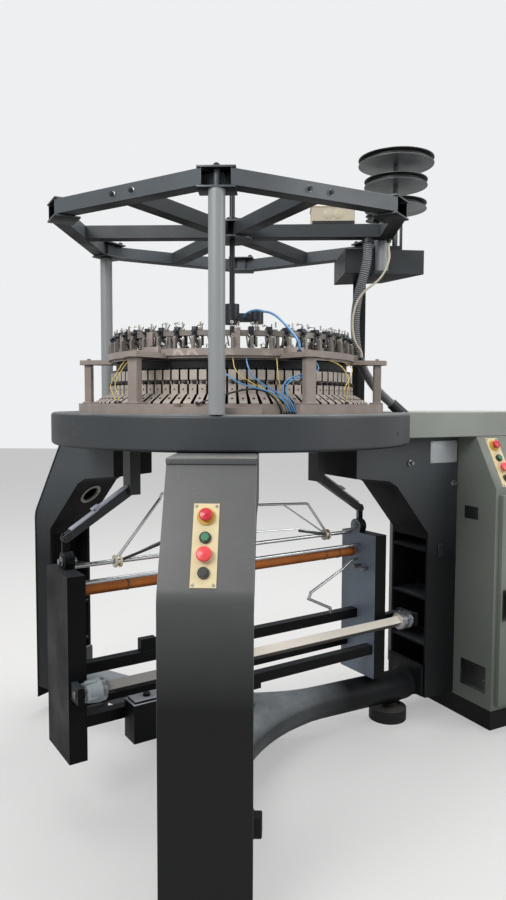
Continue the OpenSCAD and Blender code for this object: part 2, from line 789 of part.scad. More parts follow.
// Columns between the cam plate and the upper ring's brackets
module head_columns() color([0.58, 0.54, 0.5])
    for (i = [0 : col_count - 1])
        rotate([0, 0, 360 / col_count * i])
            box([col_r - col_size[0], -col_size[1] / 2, cam_z0],
                [col_r, col_size[1] / 2, ring_z0]);

// Upper ring with a lip and one bracket over each column
module upper_ring() color([0.58, 0.54, 0.5]) {
    rotate_extrude()
        polygon([
            [cyl_r + 14, ring_z0], [ring_r - 10, ring_z0], [ring_r - 10, ring_z0 + 8],
            [ring_r, ring_z0 + 8], [ring_r, ring_z1], [cyl_r + 14, ring_z1]]);
    for (i = [0 : col_count - 1])
        rotate([0, 0, 360 / col_count * i]) translate([0, 0, ring_z0])
            linear_extrude(16) polygon([
                [ring_r - 12, -50], [col_r + 12, -30], [col_r + 22, 0], [col_r + 12, 30],
                [ring_r - 12, 50]]);
}

// Short posts that carry the feeder rail
module feeder_posts() color([0.5, 0.48, 0.46])
    for (i = [0 : 3 : carrier_count - 1])
        rotate([0, 0, 360 / carrier_count * (i + 0.75)]) translate([rail_r, 0, ring_z1]) {
            cylinder(h = rail_z - rail_t - ring_z1, r = 6);
            cylinder(h = 12, r = 11);
        }

module feeder_rail() color([0.42, 0.4, 0.38])
    ring(rail_r + 8, rail_r - 8, rail_z - rail_t, rail_z);
rail_t = 18;

// Yarn carriers that stand on the upper ring and reach over the needles
module yarn_carriers() color([0.7, 0.7, 0.7])
    for (i = [0 : carrier_count - 1])
        rotate([0, 0, 360 / carrier_count * (i + 0.25)])
            profile_plate(9, [
                [ring_r - 16, ring_z1], [ring_r - 2, ring_z1], [ring_r - 2, ring_z1 + 34],
                [ring_r - 10, ring_z1 + 40], [cyl_r + 20, ring_z1 + 30],
                [cyl_r + 10, ring_z1 + 6], [cyl_r + 16, ring_z1 + 6],
                [cyl_r + 26, ring_z1 + 22], [ring_r - 16, ring_z1 + 28]]);

// Two tall posts from the bed and a short third one on the pulley housing
module tall_posts() color([0.57, 0.6, 0.6]) {
    for (i = [0, 1])
        on_leg(i) translate([post_u, 0, bed_z1])
            cylinder(h = hex_z - joint_t - bed_z1, d = post_d);
    translate([third_post[0], third_post[1], housing_z0])
        cylinder(h = hex_z - housing_z0, d = post_d);
}

// Square tube of the overhead frame, along X
module frame_tube(length)
    difference() {
        box([0, -hex_w / 2, hex_z], [length, hex_w / 2, hex_top]);
        box([-eps, -hex_w / 2 + hex_wall, hex_z + hex_wall],
            [length + eps, hex_w / 2 - hex_wall, hex_top - hex_wall]);
    }

module hexagon_tubes() color([0.3, 0.33, 0.35])
    for (i = [0 : 5])
        rotate([0, 0, 60 * i]) translate([hex_mid, -hex_len / 2, 0]) rotate([0, 0, 90])
            frame_tube(hex_len);

module spokes() color([0.27, 0.29, 0.3])
    for (i = [0 : 5])
        rotate([0, 0, 60 * i]) translate([spoke_r0, 0, 0])
            frame_tube(hex_apothem - hex_w - spoke_r0);

// Corner plates and hub plates above and below the tubes
module joint_plates() color([0.24, 0.26, 0.27]) {
    corner = hex_mid / cos(30);
    near = 20;
    far = 132;
    half_w = hex_w / 2;
    points = [
        [corner - near * 0.5 + half_w * cos(30), near * cos(30) + half_w * 0.5],
        [corner - far * 0.5 + half_w * cos(30), far * cos(30) + half_w * 0.5],
        [corner - far * 0.5 - half_w * cos(30), far * cos(30) - half_w * 0.5]];
    for (i = [0 : 5])
        rotate([0, 0, 60 * i + 30]) box([corner - 49, -19, hex_z], [corner - 43, 19, hex_top]);
    for (z = [hex_z - joint_t, hex_top]) {
        for (i = [0 : 5])
            rotate([0, 0, 60 * i + 30]) translate([0, 0, z]) linear_extrude(joint_t)
                polygon(concat(points, [for (k = [2 : -1 : 0]) [points[k][0], -points[k][1]]]));
        translate([0, 0, z])
            difference() {
                cylinder(h = joint_t, r = hub_plate_r);
                translate([0, 0, -eps]) cylinder(h = joint_t + 2 * eps, r = rod_r + run_gap);
            }
    }
}

// Hexagon bolt with a washer, standing on the plane z = 0
module bolt_head(size) {
    cylinder(h = size * 0.16, r = size * 1.15);
    translate([0, 0, size * 0.16]) cylinder(h = size * 0.65, r = size * 0.92, $fn = 6);
}

module frame_bolts() color([0.35, 0.36, 0.38]) {
    for (i = [0 : 5])
        rotate([0, 0, 60 * i]) {
            for (s = [-1, 1])
                translate([hex_apothem, s * 38, hex_z + hex_h / 2]) rotate([0, 90, 0]) bolt_head(12);
            rotate([0, 0, 30])
                for (s = [-1, 1], d = [60, 110])
                    translate([hex_mid / cos(30) - d * 0.5, s * d * cos(30), hex_top + joint_t])
                        bolt_head(10);
            translate([84, 0, hex_top + joint_t]) bolt_head(10);
        }
}

// Rod through the hub with its clamp above and the small cast boss below
module centre_rod() color([0.2, 0.2, 0.2]) {
    translate([0, 0, rod_low]) cylinder(h = rod_top - rod_low, r = rod_r);
    translate([0, 0, hex_top + joint_t]) cylinder(h = 22, r = 22);
    translate([0, 0, rod_low]) cylinder(h = 74, r = 27);
    box([0, -16, 1660], [92, 16, 1690]);
    translate([92, 0, 1652]) cylinder(h = 50, r = 24);
}

// Square column round the upright drive shaft
module drive_column() color([0.2, 0.22, 0.22])
    rotate([0, 0, drive_angle]) translate([drive_u, 0, 0])
        difference() {
            box([-drive_col_w / 2, -drive_col_w / 2, bed_z1],
                [drive_col_w / 2, drive_col_w / 2, housing_z0]);
            box([-drive_col_w / 2 + 4, -drive_col_w / 2 + 4, bed_z1 - eps],
                [drive_col_w / 2 - 4, drive_col_w / 2 - 4, housing_z0 + eps]);
        }

// Sheet housing of the pulley drive, its shelf and the shaft's stand
module pulley_housing() color([0.28, 0.31, 0.33]) {
    wall = 4;
    mid = (housing_plan[0] + housing_plan[1] + housing_plan[2] + housing_plan[3]) / 4;
    inner = [for (p = housing_plan) mid + (p - mid) * 0.95];
    stand = [26, 16];
    difference() {
        union() {
            translate([0, 0, housing_z0]) linear_extrude(housing_z1 - housing_z0)
                polygon(housing_plan);
            box([third_post[0] - 32, third_post[1] - 28, housing_z0 - 12],
                [third_post[0] + 32, third_post[1] + 90, housing_z0]);
            box([pulley_xy[0] - stand[0], pulley_xy[1] - stand[1], housing_z1 - eps],
                [pulley_xy[0] + stand[0], pulley_xy[1] + stand[1], 2078]);
        }
        translate([0, 0, housing_z0 + wall]) linear_extrude(housing_z1 - housing_z0 - 2 * wall)
            polygon(inner);
        box([pulley_xy[0] - stand[0] + 6, pulley_xy[1] - stand[1] - eps, housing_z1 + 20],
            [pulley_xy[0] + stand[0] - 6, pulley_xy[1] + stand[1] + eps, 2066]);
        translate([pulley_xy[0], pulley_xy[1], housing_z1 - 20])
            cylinder(h = 200, r = rod_r + run_gap);
        rotate([0, 0, drive_angle]) translate([drive_u, 0, housing_z0 - eps])
            cylinder(h = wall + 2 * eps, r = drive_shaft_r + run_gap);
    }
}

// Feed pulleys on their shaft: double discs with a belt groove
module feed_pulleys() color([0.17, 0.18, 0.19])
    translate([pulley_xy[0], pulley_xy[1], 0]) {
        translate([0, 0, housing_z1 - 40]) cylinder(h = 2296 - housing_z1 + 40, r = rod_r);
        for (i = [0 : 2])
            rotate_extrude() {
                r = pulley_radii[i];
                translate([0, pulley_z[i]]) polygon([
                    [rod_r - 2, -2], [34, -2], [r - 20, 3], [r, 1], [r, 4], [r - 16, 9],
                    [r - 16, 17], [r, 22], [r, 25], [r - 20, 24], [30, 26], [rod_r - 2, 26]]);
            }
    }

// Small idler wheel on a pin above the frame
module idler_wheel() color([0.2, 0.2, 0.2])
    translate([idler_xy[0], idler_xy[1], 0]) {
        rotate_extrude() polygon([
            [8 + run_gap, 2066], [idler_r, 2066], [idler_r, 2068], [idler_r - 8, 2072],
            [idler_r - 8, 2078], [idler_r, 2083], [idler_r, 2085], [8 + run_gap, 2085]]);
    }

// Cable box on the right spoke
module junction_box() color([0.76, 0.71, 0.6]) {
    box([289, -24, hex_top], [446, 74, hex_top + 60]);
    box([286, -27, hex_top + 60], [449, 77, hex_top + 65]);
}

// Sockets that the cords come out of, and the idler wheel's pin
module cable_glands() color([0.15, 0.15, 0.15]) {
    translate([496, 0, 1944]) cylinder(h = hex_z - 1944, r = 22);
    translate([572, -4, 1945]) cylinder(h = hex_z - 1945, r = 8);
    difference() {
        translate(conduit_path[len(conduit_path) - 1])
            rotate([0, acos(conduit_end[2]), atan2(conduit_end[1], conduit_end[0])])
                cylinder(h = 70, r = 21);
        box([560, 40, 1240], [760, 160, bed_z1]);
    }
    translate([476, -16, ring_z0 + 16]) cylinder(h = 1527 - ring_z0 - 16, r = 7);
    translate([238, -464, ring_z0 + 16]) cylinder(h = 1522 - ring_z0 - 16, r = 7);
    translate([idler_xy[0], idler_xy[1], hex_top]) {
        cylinder(h = 2092 - hex_top, r = 8);
        cylinder(h = 2066 - face_gap - hex_top, r = 12);
    }
}

module conduit() color([0.45, 0.45, 0.46]) tube(conduit_path, conduit_r, 12);
module cream_cable() color([0.8, 0.76, 0.66]) tube(cream_path, cream_r);
module blue_tube() color([0.35, 0.58, 0.8]) tube(blue_path, blue_r, up = [1, 0, 0]);

// Main motor under the cabinet's roof
module main_motor() color([0.35, 0.37, 0.4]) on_leg(2) translate([motor_u, 0, 0])
    difference() {
        union() {
            translate([0, 0, bridge_z0 - cab_t - 16]) cylinder(h = 16, r = 100);
            translate([0, 0, bridge_z0 - 290]) cylinder(h = 290 - cab_t - 16, r = motor_r);
            for (i = [0 : 17])
                rotate([0, 0, 20 * i])
                    box([motor_r - 4, -2, bridge_z0 - 250], [motor_r + 10, 2, bridge_z0 - 60]);
        }
        translate([0, 0, bridge_z0 - 60]) cylinder(h = 100, r = drive_shaft_r + run_gap);
    }

// Motor shaft with its belt pulley
module motor_pulley() color([0.5, 0.5, 0.52]) on_leg(2) translate([motor_u, 0, 0]) {
    translate([0, 0, bridge_z0 - 56]) cylinder(h = belt_z[1] + 8 - bridge_z0 + 56, r = drive_shaft_r);
    translate([0, 0, belt_z[0] - 4]) cylinder(h = 3, r = belt_r + 7);
    translate([0, 0, belt_z[0] - 2]) cylinder(h = belt_z[1] - belt_z[0] + 4, r = belt_r - fit_gap);
    translate([0, 0, belt_z[1] + 1]) cylinder(h = 3, r = belt_r + 7);
}

// Drive belt between the motor and the upright shaft
module drive_belt() color([0.08, 0.08, 0.08]) rotate([0, 0, drive_angle])
    translate([0, 0, belt_z[0]]) linear_extrude(belt_z[1] - belt_z[0])
        difference() {
            union() {
                translate([drive_u, 0]) circle(r = belt_r + belt_t);
                translate([motor_u, 0]) circle(r = belt_r + belt_t);
                translate([drive_u, -belt_r - belt_t]) square([motor_u - drive_u, 2 * (belt_r + belt_t)]);
            }
            translate([drive_u, 0]) circle(r = belt_r);
            translate([motor_u, 0]) circle(r = belt_r);
            translate([drive_u, -belt_r]) square([motor_u - drive_u, 2 * belt_r]);
        }

// Upright shaft with the belt pulley and the pinion
module drive_shaft() color([0.5, 0.5, 0.52]) rotate([0, 0, drive_angle]) translate([drive_u, 0, 0]) {
    cylinder_z = belt_z[0] - 6;
    translate([0, 0, cylinder_z]) cylinder(h = housing_z0 + 60 - cylinder_z, r = drive_shaft_r);
    translate([0, 0, belt_z[0] - 2]) cylinder(h = belt_z[1] - belt_z[0] + 4, r = belt_r - fit_gap);
    translate([0, 0, gear_z0]) rotate([0, 0, 180 + 180 / pinion_teeth]) linear_extrude(gear_t)
        gear_outline(pinion_r, pinion_teeth);
}

// Needle cylinder with its base flange and the dark sinker ring at its top
module needle_cylinder() color([0.2, 0.2, 0.21])
    rotate_extrude()
        polygon([
            [cyl_r - cyl_wall, gear_z0 - 34], [cyl_r, gear_z0 - 34], [cyl_r, gear_z0 + gear_t],
            [cyl_r + 21, gear_z0 + gear_t], [cyl_r + 21, gear_z0 + gear_t + 12],
            [cyl_r, gear_z0 + gear_t + 12], [cyl_r, 1470], [cyl_r + 42, 1470],
            [cyl_r + 42, 1494], [cyl_r + 8, 1496], [cyl_r + 8, cyl_top_z - 2],
            [cyl_r, cyl_top_z + 8], [cyl_r - cyl_wall, cyl_top_z + 8]]);

// Ring gear that turns the cylinder and the take-down frame
module ring_gear() color([0.4, 0.4, 0.4])
    rotate([0, 0, drive_angle]) translate([0, 0, gear_z0])
        linear_extrude(gear_t)
            difference() {
                gear_outline(gear_r, gear_teeth);
                circle(r = cyl_r + fit_gap);
            }

// Brackets under the ring gear and the struts down to the side plates
module takedown_links() color([0.3, 0.31, 0.32]) on_takedown()
    for (s = [-1, 1])
        scale([1, 1, 1]) mirror([s < 0 ? 1 : 0, 0, 0]) {
            box([cyl_r + 4, -30, link_high[1] - 20], [cyl_r + 42, 30, gear_z0]);
            difference() {
                hull() {
                    translate([link_high[0], 0, link_high[1]]) rotate([90, 0, 0])
                        cylinder(h = 26, r = 16, center = true, $fn = 32);
                    translate([link_low[0], 0, link_low[1]]) rotate([90, 0, 0])
                        cylinder(h = 26, r = 13, center = true, $fn = 32);
                }
                box([link_low[0] - 60, -7 - face_gap, link_low[1] - 40],
                    [link_low[0] + 20, 7 + face_gap, link_low[1] + 50]);
            }
            translate([link_low[0], 0, link_low[1]]) rotate([90, 0, 0])
                cylinder(h = 34, r = 6, center = true);
        }

// Side plates of the take-down frame: box castings with ears and bearing arms
module side_plate(arm_end) {
    web = 12;
    difference() {
        union() {
            box([side_a, side_b[0], side_z[0]], [side_end, side_b[1], side_z[1]]);
            translate([side_a, 0, ear_z]) rotate([0, 90, 0]) cylinder(h = 34, r = 31);
            box([side_a, -26, side_z[1] - 10], [side_a + 34, 26, ear_z]);
            box([side_a + 10, -7, ear_z], [side_a + 34, 7, link_low[1] + 16]);
            box([side_a, side_b[0] + 7, wind_z - 20], [arm_end, side_b[0] + 35, wind_z + 20]);
            box([arm_end - 22, wind_b - 28, wind_z - 26], [arm_end, side_b[0] + 35, wind_z + 26]);
        }
        box([side_a + web, side_b[0] + web, side_z[0] - eps],
            [side_end - web, side_b[1] - web, side_z[1] - 60]);
        translate([side_a - eps, 0, roll_z]) rotate([0, 90, 0]) cylinder(h = 20, r = 8 + run_gap);
        translate([side_a, 0, ear_z]) rotate([0, 90, 0]) cylinder(h = 60, r = 8);
        translate([arm_end - 30, wind_b, wind_z]) rotate([0, 90, 0]) cylinder(h = 60, r = 12 + run_gap);
        translate([link_low[0], 0, link_low[1]]) rotate([90, 0, 0])
            cylinder(h = 40, r = 6 + run_gap, center = true);
    }
}
right_arm = 800;
left_arm = 672;

module side_plates() color([0.09, 0.1, 0.11]) on_takedown() {
    side_plate(right_arm);
    mirror([1, 0, 0]) side_plate(left_arm);
}

// Square cross bars, their yoke and the spindle in the hub's bearing
module cross_bars() color([0.07, 0.07, 0.08]) on_takedown() {
    reach = side_a - fit_gap;
    box([-reach, -bar_w / 2, bar_high_z - bar_w / 2], [reach, bar_w / 2, bar_high_z + bar_w / 2]);
    for (b = [-95, 62])
        box([-reach, b - bar_w / 2, bar_z], [reach, b + bar_w / 2, bar_z + bar_w]);
    box([-60, -114, spindle_z[1]], [60, 81, bar_z]);
    box([-380, -15, bar_high_z], [-322, 15, bar_high_z + 62]);
    translate([0, 0, spindle_z[0]]) cylinder(h = spindle_z[1] - spindle_z[0] + eps, r = spindle_r);
}

// Steel guide rods between the side plates and the bent stay
module guide_rods() color([0.7, 0.7, 0.7]) on_takedown() {
    reach = side_a - fit_gap;
    for (p = [[-30, roll_z + 28], [bow_b, bow_z]])
        translate([-reach, p[0], p[1]]) rotate([0, 90, 0]) cylinder(h = 2 * reach, r = 8);
    translate([0, -12, 0])
        bent_rod([
            [reach, 700], [590, 700], [541, 668], [371, 590], [360, 566], [474, 510],
            [474, bar_high_z + bar_w / 2]], 6);
}

// Rubber covered draw roll
module draw_roll() color([0.6, 0.35, 0.16]) on_takedown()
    translate([0, 0, roll_z]) rotate([0, 90, 0]) {
        cylinder(h = 2 * side_a + 20, r = 8, center = true);
        cylinder(h = 2 * side_a - 26, r = roll_r, center = true);
    }

// Square winding bar with its two chucks
wind_ends = [-586, 722];
module winding_bar() color([0.83, 0.79, 0.72]) on_takedown() translate([0, wind_b, wind_z]) {
    translate([wind_ends[0], 0, 0]) rotate([45, 0, 0])
        translate([0, -wind_w / 2, -wind_w / 2]) cube([wind_ends[1] - wind_ends[0], wind_w, wind_w]);
    chuck(wind_ends[1], right_arm, 1);
    chuck(wind_ends[0], left_arm, -1);
}

// Cup-shaped chuck from the end of the bar to its bearing
module chuck(x, arm_end, s)
    translate([x, 0, 0]) rotate([0, 90 * s, 0]) rotate_extrude() {
        reach = arm_end - abs(x);
        polygon([
            [0, -12], [32, -12], [36, -8], [36, 10], [24, 34], [22, reach - 26],
            [12, reach - 26], [12, reach + 4], [0, reach + 4]]);
    }

// Adjustable bow that spreads the fabric
module spreader_bow() color([0.62, 0.62, 0.62]) on_takedown() translate([0, bow_b, 0]) {
    feet = [-448, 479];
    difference() {
        union() {
            tube([
                [feet[0], 0, bow_z + 12], [-284, 0, 1018], [-277, 0, 1034], [-262, 0, 1041],
                [120, 0, 964], [372, 0, 951], [383, 0, 947], [391, 0, 936],
                [feet[1], 0, bow_z + 12]], 5.5, 10);
            tube([
                [feet[0] + 4, -13, bow_z], [-285, -8, 866], [121, 0, 858], [332, -6, 851],
                [feet[1] - 4, -13, bow_z]], 3.5, 8);
            tube([[255, 0, 957], [feet[1] - 8, -12.5, bow_z + 4]], 3.5, 8);
            for (a = feet)
                translate([a - 14, 0, bow_z]) rotate([0, 90, 0]) cylinder(h = 28, r = 17);
        }
        translate([-700, 0, bow_z]) rotate([0, 90, 0]) cylinder(h = 1400, r = 8 + run_gap);
    }
}

// Gearbox that drives the winding bar, bolted to the front lower bar
module takedown_gearbox() color([0.42, 0.43, 0.45]) on_takedown() {
    y1 = -95 - bar_w / 2;
    box([-486, y1 - 78, 256], [-362, y1, 384]);
    box([-478, y1 - 70, 384], [-370, y1 - 8, 392]);
    translate([-424, y1 - 39, 392]) cylinder(h = 10, r = 12);
}

bed_ring();
bridge_table();
front_leg();
left_leg();
right_leg();
leg_covers();
foot_cross();
levelling_feet();
pivot_bearing();
control_cabinet();
cabinet_door();
door_handle();
electrics_panel();
switch_plates();
leg_emergency_stop();
leg_start_button();
leg_stop_button();
leg_jog_button();
cabinet_emergency_stop();
cabinet_start_button();
cabinet_stop_button();
cabinet_jog_button();
cam_plate();
cam_carrier();
cam_boxes();
head_columns();
upper_ring();
feeder_posts();
feeder_rail();
yarn_carriers();
tall_posts();
hexagon_tubes();
spokes();
joint_plates();
frame_bolts();
centre_rod();
drive_column();
pulley_housing();
feed_pulleys();
idler_wheel();
junction_box();
cable_glands();
conduit();
cream_cable();
blue_tube();
main_motor();
motor_pulley();
drive_belt();
drive_shaft();
needle_cylinder();
ring_gear();
takedown_links();
side_plates();
cross_bars();
guide_rods();
draw_roll();
winding_bar();
spreader_bow();
takedown_gearbox();
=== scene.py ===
# %% [markdown]
# # Circular knitting machine
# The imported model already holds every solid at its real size. Here those solids get their finishes, and the
# small pieces that a solid model leaves out are modelled with bmesh: needles, yarn eyelets, knobs, screws
# and tubes.

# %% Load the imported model
import json
import math
import bmesh
import bpy
from mathutils import Matrix, Vector


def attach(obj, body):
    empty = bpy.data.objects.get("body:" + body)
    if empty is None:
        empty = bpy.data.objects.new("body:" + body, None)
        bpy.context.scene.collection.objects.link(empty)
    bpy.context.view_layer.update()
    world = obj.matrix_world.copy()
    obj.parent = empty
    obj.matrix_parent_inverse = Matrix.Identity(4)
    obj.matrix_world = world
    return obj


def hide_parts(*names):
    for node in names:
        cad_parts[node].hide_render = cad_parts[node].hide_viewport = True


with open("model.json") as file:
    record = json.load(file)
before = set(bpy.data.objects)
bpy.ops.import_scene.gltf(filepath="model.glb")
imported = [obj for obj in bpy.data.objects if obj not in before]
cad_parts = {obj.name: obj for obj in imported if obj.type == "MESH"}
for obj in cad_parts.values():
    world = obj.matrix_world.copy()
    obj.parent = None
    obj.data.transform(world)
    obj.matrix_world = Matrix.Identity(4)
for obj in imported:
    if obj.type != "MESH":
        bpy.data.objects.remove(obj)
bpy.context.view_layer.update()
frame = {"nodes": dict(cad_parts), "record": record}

# %% [markdown]
# ## Camera
# The photograph was taken standing, with the lens at about eye height and tipped down a little. The
# position was solved from the straight edges of the hexagon, the bed and the posts, so the camera is set
# from those numbers. Blender's camera looks along its own -Z, so it is stood up by a quarter turn and then
# turned and tipped.

# %% Camera from the solved view
EYE = Vector((0.1822, -2.6440, 1.360))
HEADING, PITCH, ROLL = 0.0389, -0.0661, 0.0035
PHOTO_HIGH = 900
FOCAL_PIXELS = 708.26
SENSOR_MM = 36.0
camera_data = bpy.data.cameras.new("studio_camera")
camera_data.sensor_width = SENSOR_MM
camera_data.lens = FOCAL_PIXELS / PHOTO_HIGH * SENSOR_MM
camera_data.clip_end = 60.0
camera = bpy.data.objects.new("studio_camera", camera_data)
bpy.context.scene.collection.objects.link(camera)
camera_turn = (Matrix.Rotation(HEADING, 4, "Z") @ Matrix.Rotation(math.pi / 2 + PITCH, 4, "X")
               @ Matrix.Rotation(ROLL, 4, "Z"))
camera.matrix_world = Matrix.Translation(EYE) @ camera_turn
bpy.context.scene.camera = camera
print("camera lens", round(camera_data.lens, 2))

# %% [markdown]
# ## Smooth curves
# A cord is given by a few points that were picked where it passes in the photograph. A curve object could
# join them, but a function that works out the points in between can also measure the cord, and it tells
# where the cord lies.

# %% Points along a smooth curve
def smooth_points(points, step):
    """Points of one smooth curve through the given ones, about step apart."""
    pts = [Vector(p) for p in points]
    ends = [2 * pts[0] - pts[1]] + pts + [2 * pts[-1] - pts[-2]]
    out = [pts[0]]
    for i in range(1, len(ends) - 2):
        p0, p1, p2, p3 = ends[i - 1:i + 3]
        count = max(1, round((p2 - p1).length / step))
        for k in range(1, count + 1):
            t = k / count
            out.append(0.5 * ((2 * p1) + (p2 - p0) * t + (2 * p0 - 5 * p1 + 4 * p2 - p3) * t * t
                              + (3 * p1 - p0 - 3 * p2 + p3) * t ** 3))
    return out


def length_of(points):
    return sum((b - a).length for a, b in zip(points, points[1:]))


# %% [markdown]
# ## From a bmesh to an object
# Everything modelled here starts as a bmesh, a mesh that a script can build face by face. When it is
# finished it turns into an object. The object rides on one body of the mechanism, so it moves when that
# body's joint moves.

# %% Link a finished mesh
def link_mesh(name, bm, body, material=None):
    """Turn a finished bmesh into a smoothly shaded object that rides on a body."""
    mesh = bpy.data.meshes.new(name)
    bm.to_mesh(mesh)
    bm.free()
    obj = bpy.data.objects.new(name, mesh)
    bpy.context.scene.collection.objects.link(obj)
    for face in mesh.polygons:
        face.use_smooth = True
    if material is not None:
        mesh.materials.append(material)
    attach(obj, body)
    return obj


# %% [markdown]
# ## Round pieces along a curve
# A circle swept along a curve is the usual way to make a cord. Here the rings are placed by a function,
# because the conduit's ribs need a radius that changes along the way, and the grooves between the ribs need
# a darker finish of painted shade.

# %% Swept round pieces
RINGS_PER_RIB = 4


def swept(name, points, radius_at, body, material, sides=12, up=(0, 1, 0), groove=None):
    """A closed round piece along points, with a radius for each ring and a second finish of painted shade for
    the grooves.
    """
    bm = bmesh.new()
    up = Vector(up)
    rings = []
    for i, p in enumerate(points):
        ahead = points[min(i + 1, len(points) - 1)] - points[max(i - 1, 0)]
        side = up.cross(ahead).normalized()
        over = ahead.normalized().cross(side)
        turn = Matrix((side, over, ahead.normalized())).transposed().to_4x4()
        made = bmesh.ops.create_circle(bm, segments=sides, radius=radius_at(i),
                                       matrix=Matrix.Translation(p) @ turn)
        ring = made["verts"]
        rings.append([bm.edges.get((ring[k], ring[(k + 1) % sides])) for k in range(sides)])
    for i, (a, b) in enumerate(zip(rings, rings[1:])):
        for face in bmesh.ops.bridge_loops(bm, edges=a + b)["faces"]:
            face.material_index = 1 if groove and i % RINGS_PER_RIB > 1 else 0
    bmesh.ops.holes_fill(bm, edges=rings[0] + rings[-1])
    bmesh.ops.recalc_face_normals(bm, faces=bm.faces)
    piece = link_mesh(name, bm, body, material)
    if groove:
        piece.data.materials.append(groove)
    return piece


# %% [markdown]
# ## Finishes
# Every finish starts from the same few effects: a cloudy change of colour, a fine grain, small scratches,
# and dust on faces that look up, which also paints the light that falls on them. Each effect is a node group
# with named sockets, built once, and each material sets its own values. The groups only put out colours and
# numbers; the Principled shader stays in the material.

# %% Node helpers
FLOAT, COLOUR, VECTOR = "NodeSocketFloat", "NodeSocketColor", "NodeSocketVector"


def new_group(name, inputs, outputs):
    group = bpy.data.node_groups.new(name, "ShaderNodeTree")
    for label, kind, value in inputs:
        socket = group.interface.new_socket(label, in_out="INPUT", socket_type=kind)
        if value is not None:
            socket.default_value = value
    for label, kind in outputs:
        group.interface.new_socket(label, in_out="OUTPUT", socket_type=kind)
    return group, group.nodes.new("NodeGroupInput").outputs, group.nodes.new("NodeGroupOutput").inputs


def feed(tree, value, socket):
    """Set a socket to a plain value, or wire another socket into it."""
    if isinstance(value, (int, float, tuple)):
        socket.default_value = value
    else:
        tree.links.new(value, socket)


def math_node(tree, operation, a, b, clamp=False):
    node = tree.nodes.new("ShaderNodeMath")
    node.operation = operation
    node.use_clamp = clamp
    feed(tree, a, node.inputs[0])
    feed(tree, b, node.inputs[1])
    return node.outputs[0]


def mix_colour(tree, factor, a, b):
    node = tree.nodes.new("ShaderNodeMix")
    node.data_type = "RGBA"
    for number, value in ((0, factor), (6, a), (7, b)):
        feed(tree, value, node.inputs[number])
    return node.outputs[2]


def remap(tree, value, low, high, new_low=0.0, new_high=1.0):
    node = tree.nodes.new("ShaderNodeMapRange")
    for number, setting in enumerate((value, low, high, new_low, new_high)):
        feed(tree, setting, node.inputs[number])
    return node.outputs[0]


def noise(tree, vector, scale, detail, rough=0.55, stretch=None):
    if stretch:
        mapping = tree.nodes.new("ShaderNodeMapping")
        feed(tree, stretch, mapping.inputs["Scale"])
        feed(tree, vector, mapping.inputs["Vector"])
        vector = mapping.outputs[0]
    node = tree.nodes.new("ShaderNodeTexNoise")
    for label, value in (("Vector", vector), ("Scale", scale), ("Detail", detail), ("Roughness", rough)):
        feed(tree, value, node.inputs[label])
    return node.outputs["Fac"]


def upward(tree):
    """How far a face looks up, from -1 to 1."""
    normal = tree.nodes.new("ShaderNodeNewGeometry").outputs["Normal"]
    split = tree.nodes.new("ShaderNodeSeparateXYZ")
    feed(tree, normal, split.inputs[0])
    return split.outputs["Z"]


# %% [markdown]
# ### Cloudy colour
# Painted metal is never one even colour. A large soft noise mixes in a second colour, and a fine noise
# gives the small bumps of sprayed paint. A picture could hold the same, but noise has no seams and needs no
# unwrapping.

# %% Cloudy colour and grain group
cloud, given, result = new_group(
    "cloudy_paint",
    [("Vector", VECTOR, None), ("Colour", COLOUR, (0.5, 0.5, 0.5, 1)),
     ("Cloud colour", COLOUR, (0.4, 0.4, 0.4, 1)), ("Cloud size", FLOAT, 4.0),
     ("Cloud amount", FLOAT, 0.5), ("Grain size", FLOAT, 300.0)],
    [("Colour", COLOUR), ("Grain", FLOAT), ("Cloud", FLOAT)])
cloud_mask = remap(cloud, noise(cloud, given["Vector"], given["Cloud size"], 6.0), 0.35, 0.68)
cloud_amount = math_node(cloud, "MULTIPLY", cloud_mask, given["Cloud amount"])
feed(cloud, mix_colour(cloud, cloud_amount, given["Colour"], given["Cloud colour"]), result["Colour"])
feed(cloud, noise(cloud, given["Vector"], given["Grain size"], 2.0), result["Grain"])
feed(cloud, cloud_mask, result["Cloud"])
print("cloudy_paint nodes", len(cloud.nodes))

# %% [markdown]
# ### Scratches
# Hands, tools and yarn leave thin lines. Two noises are stretched, one to lie level and one to stand
# upright, and only their peaks count. A third noise keeps the lines to patches, because evenly spread
# scratches look like a pattern.

# %% Scratches and smears group
marks, given, result = new_group("scratch_marks", [("Vector", VECTOR, None), ("Amount", FLOAT, 0.3)],
                                 [("Marks", FLOAT)])
level_lines = remap(marks, noise(marks, given["Vector"], 30.0, 3.0, 0.6, (1.0, 1.0, 14.0)), 0.66, 0.72)
upright_lines = remap(marks, noise(marks, given["Vector"], 22.0, 3.0, 0.6, (11.0, 9.0, 1.0)), 0.66, 0.72)
patches = remap(marks, noise(marks, given["Vector"], 3.0, 2.0), 0.5, 0.62)
all_lines = math_node(marks, "MAXIMUM", level_lines, upright_lines)
lines_in_patches = math_node(marks, "MULTIPLY", all_lines, patches)
feed(marks, math_node(marks, "MULTIPLY", lines_in_patches, given["Amount"], True), result["Marks"])
print("scratch_marks nodes", len(marks.nodes))
